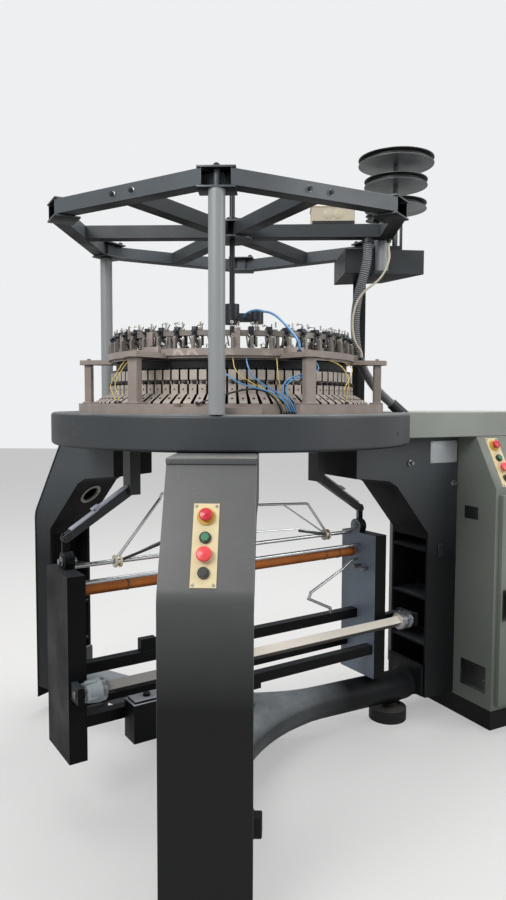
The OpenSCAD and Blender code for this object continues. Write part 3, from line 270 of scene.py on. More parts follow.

# %% [markdown]
# ### Dust and painted top light
# Lint and dust settle on whatever looks up, and the same pale mix paints the light that falls on those
# faces. The Z of the surface normal says how far a face looks up, so the dust and the painted light fall in
# the right place on any piece without being painted by hand.

# %% Dust and painted top light group
dust_light_group, given, result = new_group(
    "dust_and_top_light",
    [("Vector", VECTOR, None), ("Colour", COLOUR, (0.5, 0.5, 0.5, 1)),
     ("Dust colour", COLOUR, (0.62, 0.6, 0.56, 1)), ("Amount", FLOAT, 0.3)],
    [("Colour", COLOUR), ("Dust", FLOAT)])
# Dust and painted top light: faces that look up mix towards the pale colour, patchy by a noise.
dust_cloud = remap(dust_light_group, noise(dust_light_group, given["Vector"], 9.0, 5.0), 0.25, 0.75, 0.4, 1.0)
dust_light_spread = math_node(dust_light_group, "MULTIPLY", remap(dust_light_group, upward(dust_light_group), 0.35, 0.95), dust_cloud)
dust_light_mask = math_node(dust_light_group, "MULTIPLY", dust_light_spread, given["Amount"], True)
feed(dust_light_group, mix_colour(dust_light_group, dust_light_mask, given["Colour"], given["Dust colour"]), result["Colour"])
feed(dust_light_group, dust_light_mask, result["Dust"])
print("node groups", [g.name for g in bpy.data.node_groups])


# %% [markdown]
# ### One maker for all finishes
# One function puts the groups together into a finish. Paint, bare steel, castings and plastic differ in
# their colour, how rough and how metallic they are, how large the grain is and how much dust with painted
# top light and how many scratches they carry. Undersides look nearly black and some pieces darker at one
# end, so a finish can have either: painted shade on faces that look down, and a fade that is painted shade
# on most pieces and a greyer tone on the winding bar.

# %% Finish maker
SHADE_COLOUR = "#0c0d0e"
SHADE_FROM, SHADE_TO = -0.15, -0.75
FADED_GLOSS = 0.35
DUST_ROUGHNESS = 0.35
BUMP_HIGH = 0.001


def colour(text):
    """A colour written as the screen shows it, turned into the linear one that the shader wants."""
    parts = [int(text[i:i + 2], 16) / 255 for i in (1, 3, 5)]
    linear = [p / 12.92 if p <= 0.04045 else ((p + 0.055) / 1.055) ** 2.4 for p in parts]
    return (*linear, 1.0)


def group_node(tree, group, inputs):
    node = tree.nodes.new("ShaderNodeGroup")
    node.node_tree = group
    for label, value in inputs.items():
        feed(tree, value, node.inputs[label])
    return node.outputs


def finish(name, base, cloudy, size=4.0, amount=0.5, rough=(0.4, 0.6), metallic=0.0, grain=300.0, bump=0.05,
           scratch=0.3, scratch_colour="#9a9a94", dust_and_light=0.25, dust_light_colour="#9b978e", under=0.0, shine=0.5,
           fade=None):
    """A finish from a colour, a cloud colour, the cloud's size and amount, and two ends of the roughness.

    Under is how much painted shade darkens a face that looks down, in colour and in gloss. Fade is a
    direction, two distances along it and the colour that is reached at the second one; it paints shade on the
    legs, covers, highlighted edges, cabinet and foot cross, and a greyer end on the winding bar.
    """
    material = bpy.data.materials.new(name)
    material.use_nodes = True
    tree = material.node_tree
    shader = tree.nodes["Principled BSDF"].inputs
    place = tree.nodes.new("ShaderNodeTexCoord").outputs["Object"]
    paint = group_node(tree, cloud, {
        "Vector": place, "Colour": colour(base), "Cloud colour": colour(cloudy), "Cloud size": size,
        "Cloud amount": amount, "Grain size": grain})
    lines = group_node(tree, marks, {"Vector": place, "Amount": scratch})
    scratched = mix_colour(tree, lines["Marks"], paint["Colour"], colour(scratch_colour))
    film = group_node(tree, dust_light_group, {
        "Vector": place, "Colour": scratched, "Dust colour": colour(dust_light_colour), "Amount": dust_and_light})
    up = upward(tree)
    # Painted shade: a face that looks down is mixed towards SHADE_COLOUR and loses gloss, by the amount
    # under.
    painted_underside_shade = remap(tree, up, SHADE_FROM, SHADE_TO, 0.0, under)
    gloss = remap(tree, up, SHADE_FROM, SHADE_TO, shine, shine * (1 - under))
    shown = film["Colour"]
    # Fade: painted shade towards one end on most finishes, with less gloss; a greyer tone on the winding bar.
    if fade:
        direction, near, far, far_colour = fade
        along = tree.nodes.new("ShaderNodeVectorMath")
        along.operation = "DOT_PRODUCT"
        feed(tree, place, along.inputs[0])
        feed(tree, direction, along.inputs[1])
        distance = along.outputs["Value"]
        shown = mix_colour(tree, remap(tree, distance, near, far), shown, colour(far_colour))
        gloss = math_node(tree, "MULTIPLY", gloss, remap(tree, distance, near, far, 1.0, FADED_GLOSS))
    roughness = remap(tree, paint["Cloud"], 0.0, 1.0, rough[0], rough[1])
    dusty_rough = math_node(tree, "MULTIPLY", film["Dust"], DUST_ROUGHNESS)
    relief = tree.nodes.new("ShaderNodeBump")
    for label, value in (("Strength", bump), ("Distance", BUMP_HIGH), ("Height", paint["Grain"])):
        feed(tree, value, relief.inputs[label])
    for label, value in (("Metallic", metallic), ("Specular IOR Level", gloss),
                         ("Base Color", mix_colour(tree, painted_underside_shade, shown, colour(SHADE_COLOUR))),
                         ("Roughness", math_node(tree, "ADD", roughness, dusty_rough, True)),
                         ("Normal", relief.outputs["Normal"])):
        feed(tree, value, shader[label])
    return material


# %% [markdown]
# ### Painted castings and sheets
# The frame is cast and folded metal under grey enamel with a fine grain, lighter on the cabinet and the
# posts and nearly black on the take-down, where the black is partly painted shade. One paint for all would
# flatten the machine, so each family has its own colour, judged from the photograph and then matched.

# %% Paints
HEIGHT = (0, 0, 1)
ring_enamel = finish("ring_enamel", "#34383b", "#292d30", 3.0, 0.7, (0.4, 0.56), grain=220, bump=0.12,
                     dust_and_light=0.5, dust_light_colour="#8b8d8c", under=0.8)
# Painted shade: the legs darken towards the floor, below 1.08 m.
enamel_dark = finish("enamel_dark", "#3f4447", "#33383b", 3.0, 0.7, (0.4, 0.56), grain=220, bump=0.12,
                     dust_and_light=0.5, dust_light_colour="#8b8d8c", under=0.8, fade=(HEIGHT, 1.08, 0.7, "#1c1e1f"))
# Painted shade: the covers darken towards the floor, below 0.9 m.
enamel_cover = finish("enamel_cover", "#4f5150", "#404242", 2.2, 0.8, (0.36, 0.5), grain=220, bump=0.1,
                      dust_and_light=0.5, dust_light_colour="#8a8983", under=0.8, fade=(HEIGHT, 0.9, 0.6, "#161817"))
# Painted highlight along bevelled edges, fading to painted shade towards the floor.
edge_highlight = finish("edge_highlight", "#8b9297", "#6f767a", 20.0, 0.6, (0.3, 0.42), metallic=0.2, dust_and_light=0.3,
                   fade=(HEIGHT, 1.0, 0.5, "#4a4e50"))
# Painted shade: near black for faces inside the legs and covers, the gaps between cam boxes and the cabinet's
# recessed plinth.
painted_shade_black = finish("painted_shade_black", "#0a0b0c", "#111213", 5.0, 0.6, (0.6, 0.8), bump=0.15, dust_and_light=0.15,
                     scratch=0.1, dust_light_colour="#3a3b3b", under=0.7, shine=0.2)
enamel_bridge = finish("enamel_bridge", "#8d928b", "#7b807a", 3.0, 0.6, (0.4, 0.55), bump=0.06, dust_and_light=0.45,
                       under=0.6)
# Painted shade: the cabinet darkens towards the floor, below 0.7 m.
cabinet_coat = finish("cabinet_coat", "#777c75", "#656a64", 2.5, 0.7, (0.42, 0.6), grain=500, bump=0.12,
                      dust_and_light=0.3, under=0.7, fade=(HEIGHT, 0.7, 0.1, "#616660"))
slate_enamel = finish("slate_enamel", "#4d5358", "#3a3f43", 5.0, 0.6, (0.34, 0.5), bump=0.08, dust_and_light=0.5,
                      dust_light_colour="#8f9498", under=0.93)
housing_enamel = finish("housing_enamel", "#34393c", "#292d30", 5.0, 0.6, (0.4, 0.55), bump=0.08, dust_and_light=0.5,
                        dust_light_colour="#8f9498", under=0.95)
# Painted shade: a darker copy of the hexagon's slate enamel, as the spokes lie in shade.
shaded_spoke_enamel = finish("shaded_spoke_enamel", "#33383b", "#262a2c", 5.0, 0.6, (0.4, 0.6), bump=0.08, dust_and_light=0.35,
                      under=0.93)
post_enamel = finish("post_enamel", "#8f9293", "#808485", 6.0, 0.5, (0.32, 0.45), bump=0.04, dust_and_light=0.1)
# Painted shade: the foot cross darkens towards the foot of the right leg.
cross_casting = finish("cross_casting", "#34393c", "#25292b", 5.0, 0.8, (0.42, 0.62), grain=110, bump=0.3,
                       dust_and_light=0.95, dust_light_colour="#989fa4", under=0.85,
                       fade=((0.866, 0.5, 0), 0.3, 0.52, "#0e1012"))
link_grey = finish("link_grey", "#1c1e20", "#141617", 8.0, 0.6, (0.4, 0.55), grain=160, bump=0.15, dust_and_light=0.6,
                   dust_light_colour="#8f95a0", under=0.8)
# Partly painted shade: a dark paint taken down to near black, where the take-down, carrier and column lie in
# deep shade.
rotor_shade_black = finish("rotor_shade_black", "#060708", "#0b0c0e", 7.0, 0.6, (0.45, 0.62), grain=160, bump=0.15,
                     dust_and_light=0.4, dust_light_colour="#565b60", scratch_colour="#2c2f31", under=0.8, shine=0.14)
# Painted light: the lit inner face of the far side plate, pale blue against the plates' black.
painted_light_slate = finish("painted_light_slate", "#7f8b9b", "#68737f", 5.0, 0.7, (0.35, 0.5), bump=0.1, dust_and_light=0.2)
# Painted light: the pale tops of the gearbox and the bars on the links.
painted_light_pale = finish("painted_light_pale", "#a3a7b4", "#8b8f9b", 14.0, 0.6, (0.35, 0.5), bump=0.1, dust_and_light=0.3)
bar_enamel = finish("bar_enamel", "#efe7dc", "#d9cec0", 5.0, 0.5, (0.28, 0.42), metallic=0.1, bump=0.05,
                    dust_and_light=0.1, under=0.95, fade=((0.814, 0.581, 0), 0.1, -0.25, "#7f7e7a"))
# Painted shade: a darker copy of the leg enamel for the ribs inside the bays, with dust and painted top
# light.
rib_shade_grey = finish("rib_shade_grey", "#2b2e33", "#1d2024", 8.0, 0.6, (0.45, 0.6), grain=160, bump=0.15, dust_and_light=0.6,
                  dust_light_colour="#585c66", under=0.8)
motor_grey = finish("motor_grey", "#5b6066", "#474b50", 7.0, 0.6, (0.45, 0.6), grain=160, bump=0.2,
                    dust_and_light=0.3)
chuck_blue = finish("chuck_blue", "#868f93", "#6c7579", 12.0, 0.6, (0.4, 0.55), grain=200, bump=0.2,
                    dust_and_light=0.2)
print("paints", len(bpy.data.materials))

# %% [markdown]
# ### Bare metals
# The knitting head is bare metal that oil has turned brownish, and rods, rolls and bolts are steel. A full
# metallic value would mirror the pale hall and come out too bright, so only the polished pieces come close
# to it.

# %% Metals
head_taupe = finish("head_taupe", "#998d86", "#81766f", 14.0, 0.6, (0.35, 0.5), metallic=0.1, bump=0.08,
                    dust_and_light=0.2, under=0.8)
cam_metal = finish("cam_metal", "#b9afa5", "#948a81", 30.0, 0.6, (0.3, 0.48), metallic=0.15, grain=400,
                   bump=0.1, dust_and_light=0.15, under=0.6)
rail_metal = finish("rail_metal", "#857e77", "#6a645e", 18.0, 0.6, (0.3, 0.45), metallic=0.2, dust_and_light=0.2,
                    under=0.6)
needle_steel = finish("needle_steel", "#111214", "#1c1d1f", 40.0, 0.8, (0.35, 0.5), metallic=0.3, grain=500,
                      bump=0.4, dust_and_light=0.1, shine=0.3)
clutter_grey = finish("clutter_grey", "#a39d96", "#6f6a65", 60.0, 0.8, (0.25, 0.4), metallic=0.5, dust_and_light=0.1)
pulley_grey = finish("pulley_grey", "#64686a", "#505456", 9.0, 0.5, (0.35, 0.5), metallic=0.3, dust_and_light=0.2)
dark_steel = finish("dark_steel", "#33363a", "#232629", 12.0, 0.6, (0.35, 0.5), metallic=0.5, dust_and_light=0.25)
bright_steel = finish("bright_steel", "#b6b9ba", "#8f9294", 10.0, 0.5, (0.18, 0.32), metallic=0.9, bump=0.03,
                      dust_and_light=0.1)
turned_steel = finish("turned_steel", "#8b8e91", "#6c6f72", 16.0, 0.5, (0.25, 0.4), metallic=0.8, bump=0.05,
                      dust_and_light=0.15)
zinc_plate = finish("zinc_plate", "#aeb1ad", "#969995", 16.0, 0.6, (0.35, 0.5), metallic=0.6, dust_and_light=0.1)
plate_bare = finish("plate_bare", "#c6cacd", "#aeb2b5", 10.0, 0.5, (0.3, 0.45), metallic=0.2, bump=0.03,
                    dust_and_light=0.1)
print("paints and metals", len(bpy.data.materials))

# %% [markdown]
# ### Rubber, plastic and ceramic
# The brown covering of the draw roll, the buttons, the tubes and the eyelets are moulded or dipped. They
# take their colour right through, so clouds and scratches are faint, and how rough they are sets them
# apart.

# %% Coverings, plastics and ceramic
roll_cover = finish("roll_cover", "#b4692c", "#96521f", 8.0, 0.7, (0.5, 0.65), grain=600, bump=0.15,
                    scratch=0.15, dust_and_light=0.05, under=0.6, shine=0.25)
collar_brown = finish("collar_brown", "#6d482d", "#553620", 20.0, 0.5, (0.45, 0.6), dust_and_light=0.1)
cream_disc = finish("cream_disc", "#cfc2a4", "#b9ac90", 14.0, 0.5, (0.35, 0.5), dust_and_light=0.1)
plate_cream = finish("plate_cream", "#d6c69c", "#c6b58a", 9.0, 0.4, (0.4, 0.55), bump=0.03, dust_and_light=0.05)
signal_red = finish("signal_red", "#c4283c", "#a81f33", 12.0, 0.4, (0.22, 0.35), bump=0.02, scratch=0.1,
                    dust_and_light=0.05)
stop_red = finish("stop_red", "#e0484c", "#c93a3f", 12.0, 0.4, (0.25, 0.38), bump=0.02, scratch=0.1,
                  dust_and_light=0.05)
start_green = finish("start_green", "#2f7a55", "#225c40", 12.0, 0.4, (0.3, 0.4), bump=0.02, scratch=0.1,
                     dust_and_light=0.05)
collar_yellow = finish("collar_yellow", "#c99f3a", "#b18a30", 12.0, 0.4, (0.35, 0.5), bump=0.03, dust_and_light=0.05)
black_moulding = finish("black_moulding", "#1a1b1d", "#26282a", 12.0, 0.5, (0.35, 0.5), grain=700, bump=0.08,
                        scratch=0.15, dust_and_light=0.15)
cream_moulding = finish("cream_moulding", "#bfb6a0", "#aca38e", 6.0, 0.5, (0.4, 0.55), grain=600, bump=0.06,
                        dust_and_light=0.2)
conduit_grey = finish("conduit_grey", "#8e9092", "#77797c", 9.0, 0.5, (0.4, 0.55), bump=0.05, dust_and_light=0.2)
# Painted shade in the grooves of the conduit.
groove_shade = finish("groove_shade", "#3b3c40", "#2d2e31", 9.0, 0.5, (0.5, 0.65), bump=0.05, dust_and_light=0.1)
tube_yellow = finish("tube_yellow", "#d3bb63", "#bda452", 14.0, 0.4, (0.35, 0.5), bump=0.02, dust_and_light=0.05)
cable_cream = finish("cable_cream", "#cfc7b0", "#b9b09a", 14.0, 0.5, (0.35, 0.5), bump=0.03, dust_and_light=0.1)
air_blue = finish("air_blue", "#5a93c4", "#4a82b3", 14.0, 0.4, (0.2, 0.3), bump=0.02, scratch=0.0,
                  dust_and_light=0.05)
belt_black = finish("belt_black", "#141414", "#1f1f1f", 20.0, 0.5, (0.5, 0.7), grain=500, bump=0.15,
                    dust_and_light=0.1)
foot_black = finish("foot_black", "#18181a", "#101011", 9.0, 0.6, (0.6, 0.75), grain=120, bump=0.3,
                    dust_and_light=0.25, shine=0.3)
ceramic_white = finish("ceramic_white", "#d8d5cc", "#c4c1b8", 20.0, 0.4, (0.2, 0.3), bump=0.02, scratch=0.0,
                       dust_and_light=0.05)
rubber_pale = finish("rubber_pale", "#8e8d86", "#77766f", 12.0, 0.5, (0.5, 0.65), bump=0.1, dust_and_light=0.2)
print("finishes", len(bpy.data.materials))

# %% [markdown]
# ## Finishes on the solids
# A solid whose shape is right keeps its mesh, and only its material changes. The list pairs each finish
# with the solids that carry it, so a repaint is one line.

# %% Dress the solids
DRESS = {
    ring_enamel: ["bed_ring"],
    enamel_dark: ["front_leg", "left_leg", "right_leg"],
    enamel_cover: ["leg_covers"],
    link_grey: ["takedown_links"],
    enamel_bridge: ["bridge_table"],
    cabinet_coat: ["control_cabinet", "cabinet_door"],
    slate_enamel: ["hexagon_tubes", "joint_plates"],
    housing_enamel: ["pulley_housing"],
    shaded_spoke_enamel: ["spokes"],
    post_enamel: ["tall_posts"],
    cross_casting: ["foot_cross", "pivot_bearing", "takedown_gearbox"],
    rotor_shade_black: ["side_plates", "cross_bars", "cam_carrier", "drive_column"],
    head_taupe: ["cam_plate", "head_columns", "upper_ring"],
    cam_metal: ["cam_boxes", "yarn_carriers"],
    rail_metal: ["feeder_rail", "feeder_posts"],
    needle_steel: ["needle_cylinder"],
    dark_steel: ["frame_bolts", "centre_rod", "idler_wheel"],
    pulley_grey: ["feed_pulleys"],
    bright_steel: ["guide_rods", "spreader_bow"],
    turned_steel: ["ring_gear", "drive_shaft", "motor_pulley"],
    bar_enamel: ["winding_bar"],
    roll_cover: ["draw_roll"],
    plate_cream: ["switch_plates"],
    signal_red: ["leg_emergency_stop", "cabinet_emergency_stop"],
    stop_red: ["leg_stop_button", "cabinet_stop_button"],
    start_green: ["leg_start_button", "cabinet_start_button"],
    black_moulding: ["leg_jog_button", "cabinet_jog_button", "door_handle", "cable_glands"],
    cream_moulding: ["junction_box"],
    belt_black: ["drive_belt"],
    foot_black: ["levelling_feet"],
    zinc_plate: ["electrics_panel"],
    motor_grey: ["main_motor"],
}
for material, names in DRESS.items():
    for name in names:
        solid = frame["nodes"][name]
        for slot in solid.material_slots:
            slot.material = material
        if not solid.material_slots:
            solid.data.materials.append(material)
print("solids dressed", sum(len(names) for names in DRESS.values()))

# %% [markdown]
# ## Conduit
# A grey ribbed hose carries the cables from the cable box down to the bed. One rib could be repeated along
# a curve with an Array and a Curve modifier. The swept piece needs neither: four of its rings make one rib
# and one groove, two wide ones and two narrow ones.

# %% Conduit with its ribs
CONDUIT = [(0.496, 0, 1.944), (0.496, 0, 1.912), (0.494, 0.004, 1.88), (0.484, 0.012, 1.83),
           (0.467, 0.024, 1.76), (0.458, 0.036, 1.69), (0.460, 0.050, 1.62), (0.472, 0.062, 1.55),
           (0.498, 0.074, 1.485), (0.534, 0.084, 1.43), (0.572, 0.091, 1.39), (0.606, 0.095, 1.36)]
RIB_STEP, RIB_R, GROOVE_R = 0.0018, 0.0172, 0.0154
conduit_line = smooth_points(CONDUIT, RIB_STEP)
# The groove faces between the ribs get painted shade.
conduit = swept("conduit_hose", conduit_line, lambda i: RIB_R if i % RINGS_PER_RIB in (1, 2) else GROOVE_R,
                "frame", conduit_grey, 16, groove=groove_shade)
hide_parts("conduit")
length_of(conduit_line)
[tuple(p) for p in smooth_points(CONDUIT, 0.03)]
print("conduit length", round(length_of(conduit_line), 3))

# %% [markdown]
# ## Cream cable and blue air tube
# A thin cream cable hangs in a loose bend beside the conduit, and a blue air tube arches from the centre
# column to the front of the head. Both are swept like the conduit, with one even radius.

# %% Cream cable and blue air tube
THIN_STEP, THIN_R = 0.008, 0.004
CREAM = [(0.572, -0.004, 1.945), (0.572, -0.004, 1.922), (0.574, -0.007, 1.89), (0.562, -0.010, 1.85),
         (0.540, -0.012, 1.815), (0.512, -0.014, 1.79), (0.482, -0.016, 1.765), (0.458, -0.018, 1.73),
         (0.446, -0.020, 1.69), (0.442, -0.020, 1.65), (0.446, -0.020, 1.61), (0.458, -0.018, 1.576),
         (0.476, -0.016, 1.548), (0.476, -0.016, 1.527)]
cream_line = smooth_points(CREAM, THIN_STEP)
cream = swept("cream_lead", cream_line, lambda i: THIN_R, "frame", cable_cream, 10)
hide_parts("cream_cable")
length_of(cream_line)
[tuple(p) for p in smooth_points(CREAM, 0.02)]
BLUE = [(0.046, -0.0163, 1.675), (0.046, -0.036, 1.675), (0.064, -0.084, 1.684), (0.096, -0.146, 1.684),
        (0.120, -0.206, 1.672), (0.144, -0.266, 1.660), (0.168, -0.324, 1.640), (0.192, -0.378, 1.612),
        (0.214, -0.420, 1.583), (0.232, -0.452, 1.555), (0.238, -0.464, 1.541), (0.238, -0.464, 1.522)]
blue_line = smooth_points(BLUE, THIN_STEP)
blue = swept("air_tube", blue_line, lambda i: THIN_R, "frame", air_blue, 10, up=(1, 0, 0))
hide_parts("blue_tube")
length_of(blue_line)
[tuple(p) for p in smooth_points(BLUE, 0.02)]
print("cream and blue lengths", round(length_of(cream_line), 3), round(length_of(blue_line), 3))

# %% [markdown]
# ## Thin tubes
# Oil and air reach the knitting head through thin yellow and blue tubes, and a black lead runs among them.
# The tubes rise from sockets at the foot of the head, bend in front of the cam boxes and end in the upper
# ring. Each route is a list of points given one by one, because real tubes cross each other in a way that no
# rule gives.

# %% Bundle of thin tubes in front of the cam boxes
TUBE_R = {air_blue: 0.0024, tube_yellow: 0.0015, black_moulding: 0.0028}
TUBE_STEP = 0.006
THIN_TUBES = {
    "air_tube_left": (air_blue, [
        (0.214, -0.478, 1.326), (0.208, -0.482, 1.345), (0.189, -0.489, 1.368), (0.158, -0.499, 1.390),
        (0.122, -0.506, 1.402), (0.080, -0.510, 1.412), (0.040, -0.505, 1.430), (0.006, -0.490, 1.458),
        (-0.011, -0.464, 1.484), (-0.015, -0.434, 1.502)]),
    "air_tube_low": (air_blue, [
        (0.222, -0.473, 1.326), (0.214, -0.478, 1.350), (0.193, -0.486, 1.376), (0.162, -0.495, 1.398),
        (0.128, -0.502, 1.417), (0.100, -0.502, 1.440), (0.084, -0.488, 1.466), (0.077, -0.462, 1.488),
        (0.075, -0.427, 1.502)]),
    "air_tube_right": (air_blue, [
        (0.206, -0.473, 1.326), (0.199, -0.480, 1.352), (0.187, -0.488, 1.382), (0.189, -0.489, 1.412),
        (0.208, -0.481, 1.434), (0.240, -0.465, 1.447), (0.270, -0.442, 1.458), (0.284, -0.410, 1.476),
        (0.276, -0.374, 1.492), (0.262, -0.346, 1.502)]),
    "air_tube_side": (air_blue, [
        (0.230, -0.476, 1.326), (0.220, -0.482, 1.352), (0.204, -0.487, 1.378), (0.197, -0.489, 1.400),
        (0.204, -0.486, 1.420), (0.226, -0.476, 1.434), (0.256, -0.460, 1.441), (0.284, -0.434, 1.452),
        (0.300, -0.400, 1.470), (0.293, -0.363, 1.490), (0.278, -0.333, 1.502)]),
    "yellow_tube_mid": (tube_yellow, [
        (0.198, -0.470, 1.326), (0.190, -0.480, 1.350), (0.172, -0.489, 1.374), (0.140, -0.499, 1.396),
        (0.100, -0.506, 1.418), (0.062, -0.502, 1.442), (0.042, -0.488, 1.466), (0.036, -0.462, 1.488),
        (0.032, -0.433, 1.502)]),
    "yellow_tube_top": (tube_yellow, [
        (0.214, -0.466, 1.326), (0.204, -0.474, 1.356), (0.186, -0.482, 1.392), (0.176, -0.486, 1.430),
        (0.172, -0.481, 1.461), (0.170, -0.456, 1.487), (0.168, -0.427, 1.498), (0.165, -0.401, 1.502)]),
    "yellow_tube_end": (tube_yellow, [
        (0.392, -0.352, 1.3555), (0.392, -0.352, 1.368), (0.396, -0.350, 1.390), (0.400, -0.346, 1.420),
        (0.394, -0.334, 1.456), (0.376, -0.314, 1.482), (0.353, -0.292, 1.496), (0.335, -0.276, 1.502)]),
    "yellow_tube_side": (tube_yellow, [
        (0.400, -0.314, 1.3555), (0.398, -0.316, 1.372), (0.390, -0.322, 1.388), (0.387, -0.321, 1.402),
        (0.395, -0.307, 1.418), (0.405, -0.290, 1.437), (0.416, -0.268, 1.458), (0.420, -0.240, 1.478),
        (0.405, -0.207, 1.494), (0.388, -0.188, 1.502)]),
    "yellow_tube_left": (tube_yellow, [
        (-0.337, -0.380, 1.3555), (-0.338, -0.382, 1.372), (-0.343, -0.380, 1.392), (-0.352, -0.370, 1.408),
        (-0.352, -0.361, 1.426), (-0.346, -0.351, 1.444), (-0.340, -0.336, 1.462), (-0.331, -0.312, 1.484),
        (-0.322, -0.290, 1.502)]),
    "yellow_tube_far": (tube_yellow, [
        (-0.352, -0.368, 1.3555), (-0.354, -0.369, 1.372), (-0.363, -0.361, 1.392), (-0.372, -0.347, 1.412),
        (-0.368, -0.342, 1.432), (-0.358, -0.338, 1.450), (-0.350, -0.325, 1.468), (-0.344, -0.300, 1.488),
        (-0.338, -0.274, 1.502)]),
    "black_lead": (black_moulding, [
        (-0.072, -0.505, 1.3545), (-0.055, -0.509, 1.363), (-0.006, -0.513, 1.376), (0.018, -0.513, 1.386),
        (0.053, -0.510, 1.396), (0.092, -0.505, 1.402), (0.125, -0.500, 1.398), (0.152, -0.494, 1.384),
        (0.172, -0.486, 1.362), (0.182, -0.478, 1.340), (0.184, -0.473, 1.326)]),
}
for tube_name, (material, route) in THIN_TUBES.items():
    thin_line = smooth_points(route, TUBE_STEP)
    thin_radius = TUBE_R[material]
    tube = swept(tube_name, thin_line, lambda i: thin_radius, "frame", material, 8, up=(1, 0.3, 0))
    tuple(route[0])
    length_of(thin_line)
    [tuple(p) for p in smooth_points(route, 0.014)]
    print(tube_name, round(length_of(thin_line), 3))

# %% [markdown]
# ## Rounded edges
# A solid from a CAD program has knife-sharp edges, and real castings and folded sheets don't: the thin
# bright line along a rounded edge tells the eye how thick the metal is. Each large solid is copied, its
# flat faces are merged, and a Bevel modifier rounds the edges. The copy replaces the solid in the picture,
# and the faces that lie in the shade of the machine get their own darker paint.

# %% Copies with rounded edges
BODY_OF = {node: body for body, nodes in frame["record"]["behaviour"]["bodies"].items() for node in nodes}
SHARP = math.radians(38)
SEAM = 0.00002
FLAT = math.radians(0.6)


def merged_copy(name):
    """The solid's mesh with its seams closed and its flat faces joined."""
    bm = bmesh.new()
    bm.from_mesh(frame["nodes"][name].data)
    bmesh.ops.remove_doubles(bm, verts=bm.verts, dist=SEAM)
    bmesh.ops.dissolve_limit(bm, angle_limit=FLAT, verts=bm.verts, edges=bm.edges)
    return bm


def rounded(name, width, finishes, pick=None, edge=None, change=None):
    """Copy a solid, round its edges, and give faces the finish that pick names and edges their own."""
    bm = merged_copy(name)
    if change:
        change(bm)
    if pick:
        for face in bm.faces:
            face.material_index = pick(face.calc_center_median(), face.normal)
    piece = link_mesh(name + "_body", bm, BODY_OF[name])
    piece.data.set_sharp_from_angle(angle=SHARP)
    for material in finishes + ([edge] if edge else []):
        piece.data.materials.append(material)
    bevel = piece.modifiers.new("rounded_edges", "BEVEL")
    bevel.material = len(finishes) if edge else -1
    bevel.width = width
    bevel.segments = 2
    bevel.limit_method = "ANGLE"
    bevel.angle_limit = SHARP
    even = piece.modifiers.new("even_normals", "WEIGHTED_NORMAL")
    even.keep_sharp = True
    even.weight = 100
    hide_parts(name)
    print(piece.name, len(piece.data.polygons), "faces, edges rounded by", width)


# %% [markdown]
# ### Frames of the legs and the take-down
# The three legs stand a third of a turn apart, and the take-down was photographed at an angle of its own.
# Numbers are easier to read in the frame of the piece, with X pointing outwards, so faces are looked at
# from there.

# %% Turned frames
LEG_ANGLES = {"front_leg": 270, "left_leg": 150, "right_leg": 30}
TAKE_DOWN_ANGLE = 35.5


def turn_z(degrees):
    return Matrix.Rotation(math.radians(degrees), 4, "Z")


TAKE_DOWN = turn_z(TAKE_DOWN_ANGLE)


def seen_from(place, centre, normal):
    """The centre and the normal of a face in a turned frame."""
    back = place.inverted()
    return back @ centre, back.to_3x3() @ normal


def in_shade(normal):
    """True for a face that looks towards the middle of the machine or down."""
    return normal.x < -0.2 or normal.z < -0.3


print("legs at", sorted(LEG_ANGLES.values()), "take-down at", TAKE_DOWN_ANGLE)

# %% [markdown]
# ### Legs
# A leg is an open box of cast metal with flat ribs across it: enamel outside, painted shade inside, nearly
# black on the walls and a darker enamel on the ribs, which also carry dust with painted top light. The paint
# of a face follows from where the face lies and which way it looks, so nothing has to be selected by hand.

# %% Rounded legs
LEG_BOTTOM, LEG_BAY, LEG_WALL = 0.105, 0.171, 0.013
LEG_INSIDE, RIB_HALF, RIB_SLACK, RIB_EDGE = 0.1165, 0.09, 0.001, 0.0002
RIBS = [(LEG_BOTTOM + LEG_BAY * (i + 1), lift) for i, lift in enumerate((0.050, 0.078, 0.115))]


def leg_pick(angle, ribs):
    """A function that names a face as outside (0), painted shade inside (1) or a shaded rib (2)."""
    def pick(centre, normal):
        c, n = seen_from(turn_z(angle), centre, normal)
        on_rib = any(-RIB_SLACK < c.z - low - up < LEG_WALL + RIB_SLACK for low, up in ribs)
        if on_rib and abs(c.y) < RIB_HALF:
            return 2
        # Faces that look inwards or down, and the inner side walls, get painted shade.
        return 1 if in_shade(n) or (abs(c.y) < LEG_INSIDE and abs(n.y) > 0.5) else 0
    return pick


def lift_ribs(bm):
    """The ribs of the right leg stand higher in the photograph than the even bays of the solid."""
    for low, up in RIBS:
        for vert in bm.verts:
            if min(abs(vert.co.z - low), abs(vert.co.z - low - LEG_WALL)) < RIB_EDGE:
                vert.co.z += up


for leg, angle in LEG_ANGLES.items():
    lifted = leg == "right_leg"
    ribs = [(low, up if lifted else 0.0) for low, up in RIBS]
    rounded(leg, 0.004, [enamel_dark, painted_shade_black, rib_shade_grey], leg_pick(angle, ribs),
            change=lift_ribs if lifted else None)

# %% [markdown]
# ### Side plates, covers and cam boxes
# The inner face of the far side plate is painted light, pale blue against the black of its other faces. The
# insides of the leg covers are painted shade, and so is the gap between two cam boxes, a dark slit. The
# bevels on the edges of the bed and the covers carry a painted highlight, brighter than their faces.

# %% Rounded plates, covers, bed and cam boxes
FAR_PLATE = (0.60, 0.66)
COVER_HALF = 0.2


def side_pick(centre, normal):
    c, n = seen_from(TAKE_DOWN, centre, normal)
    # The far plate's inner face gets painted light.
    return 1 if FAR_PLATE[0] < c.x < FAR_PLATE[1] and n.x < -0.5 else 0


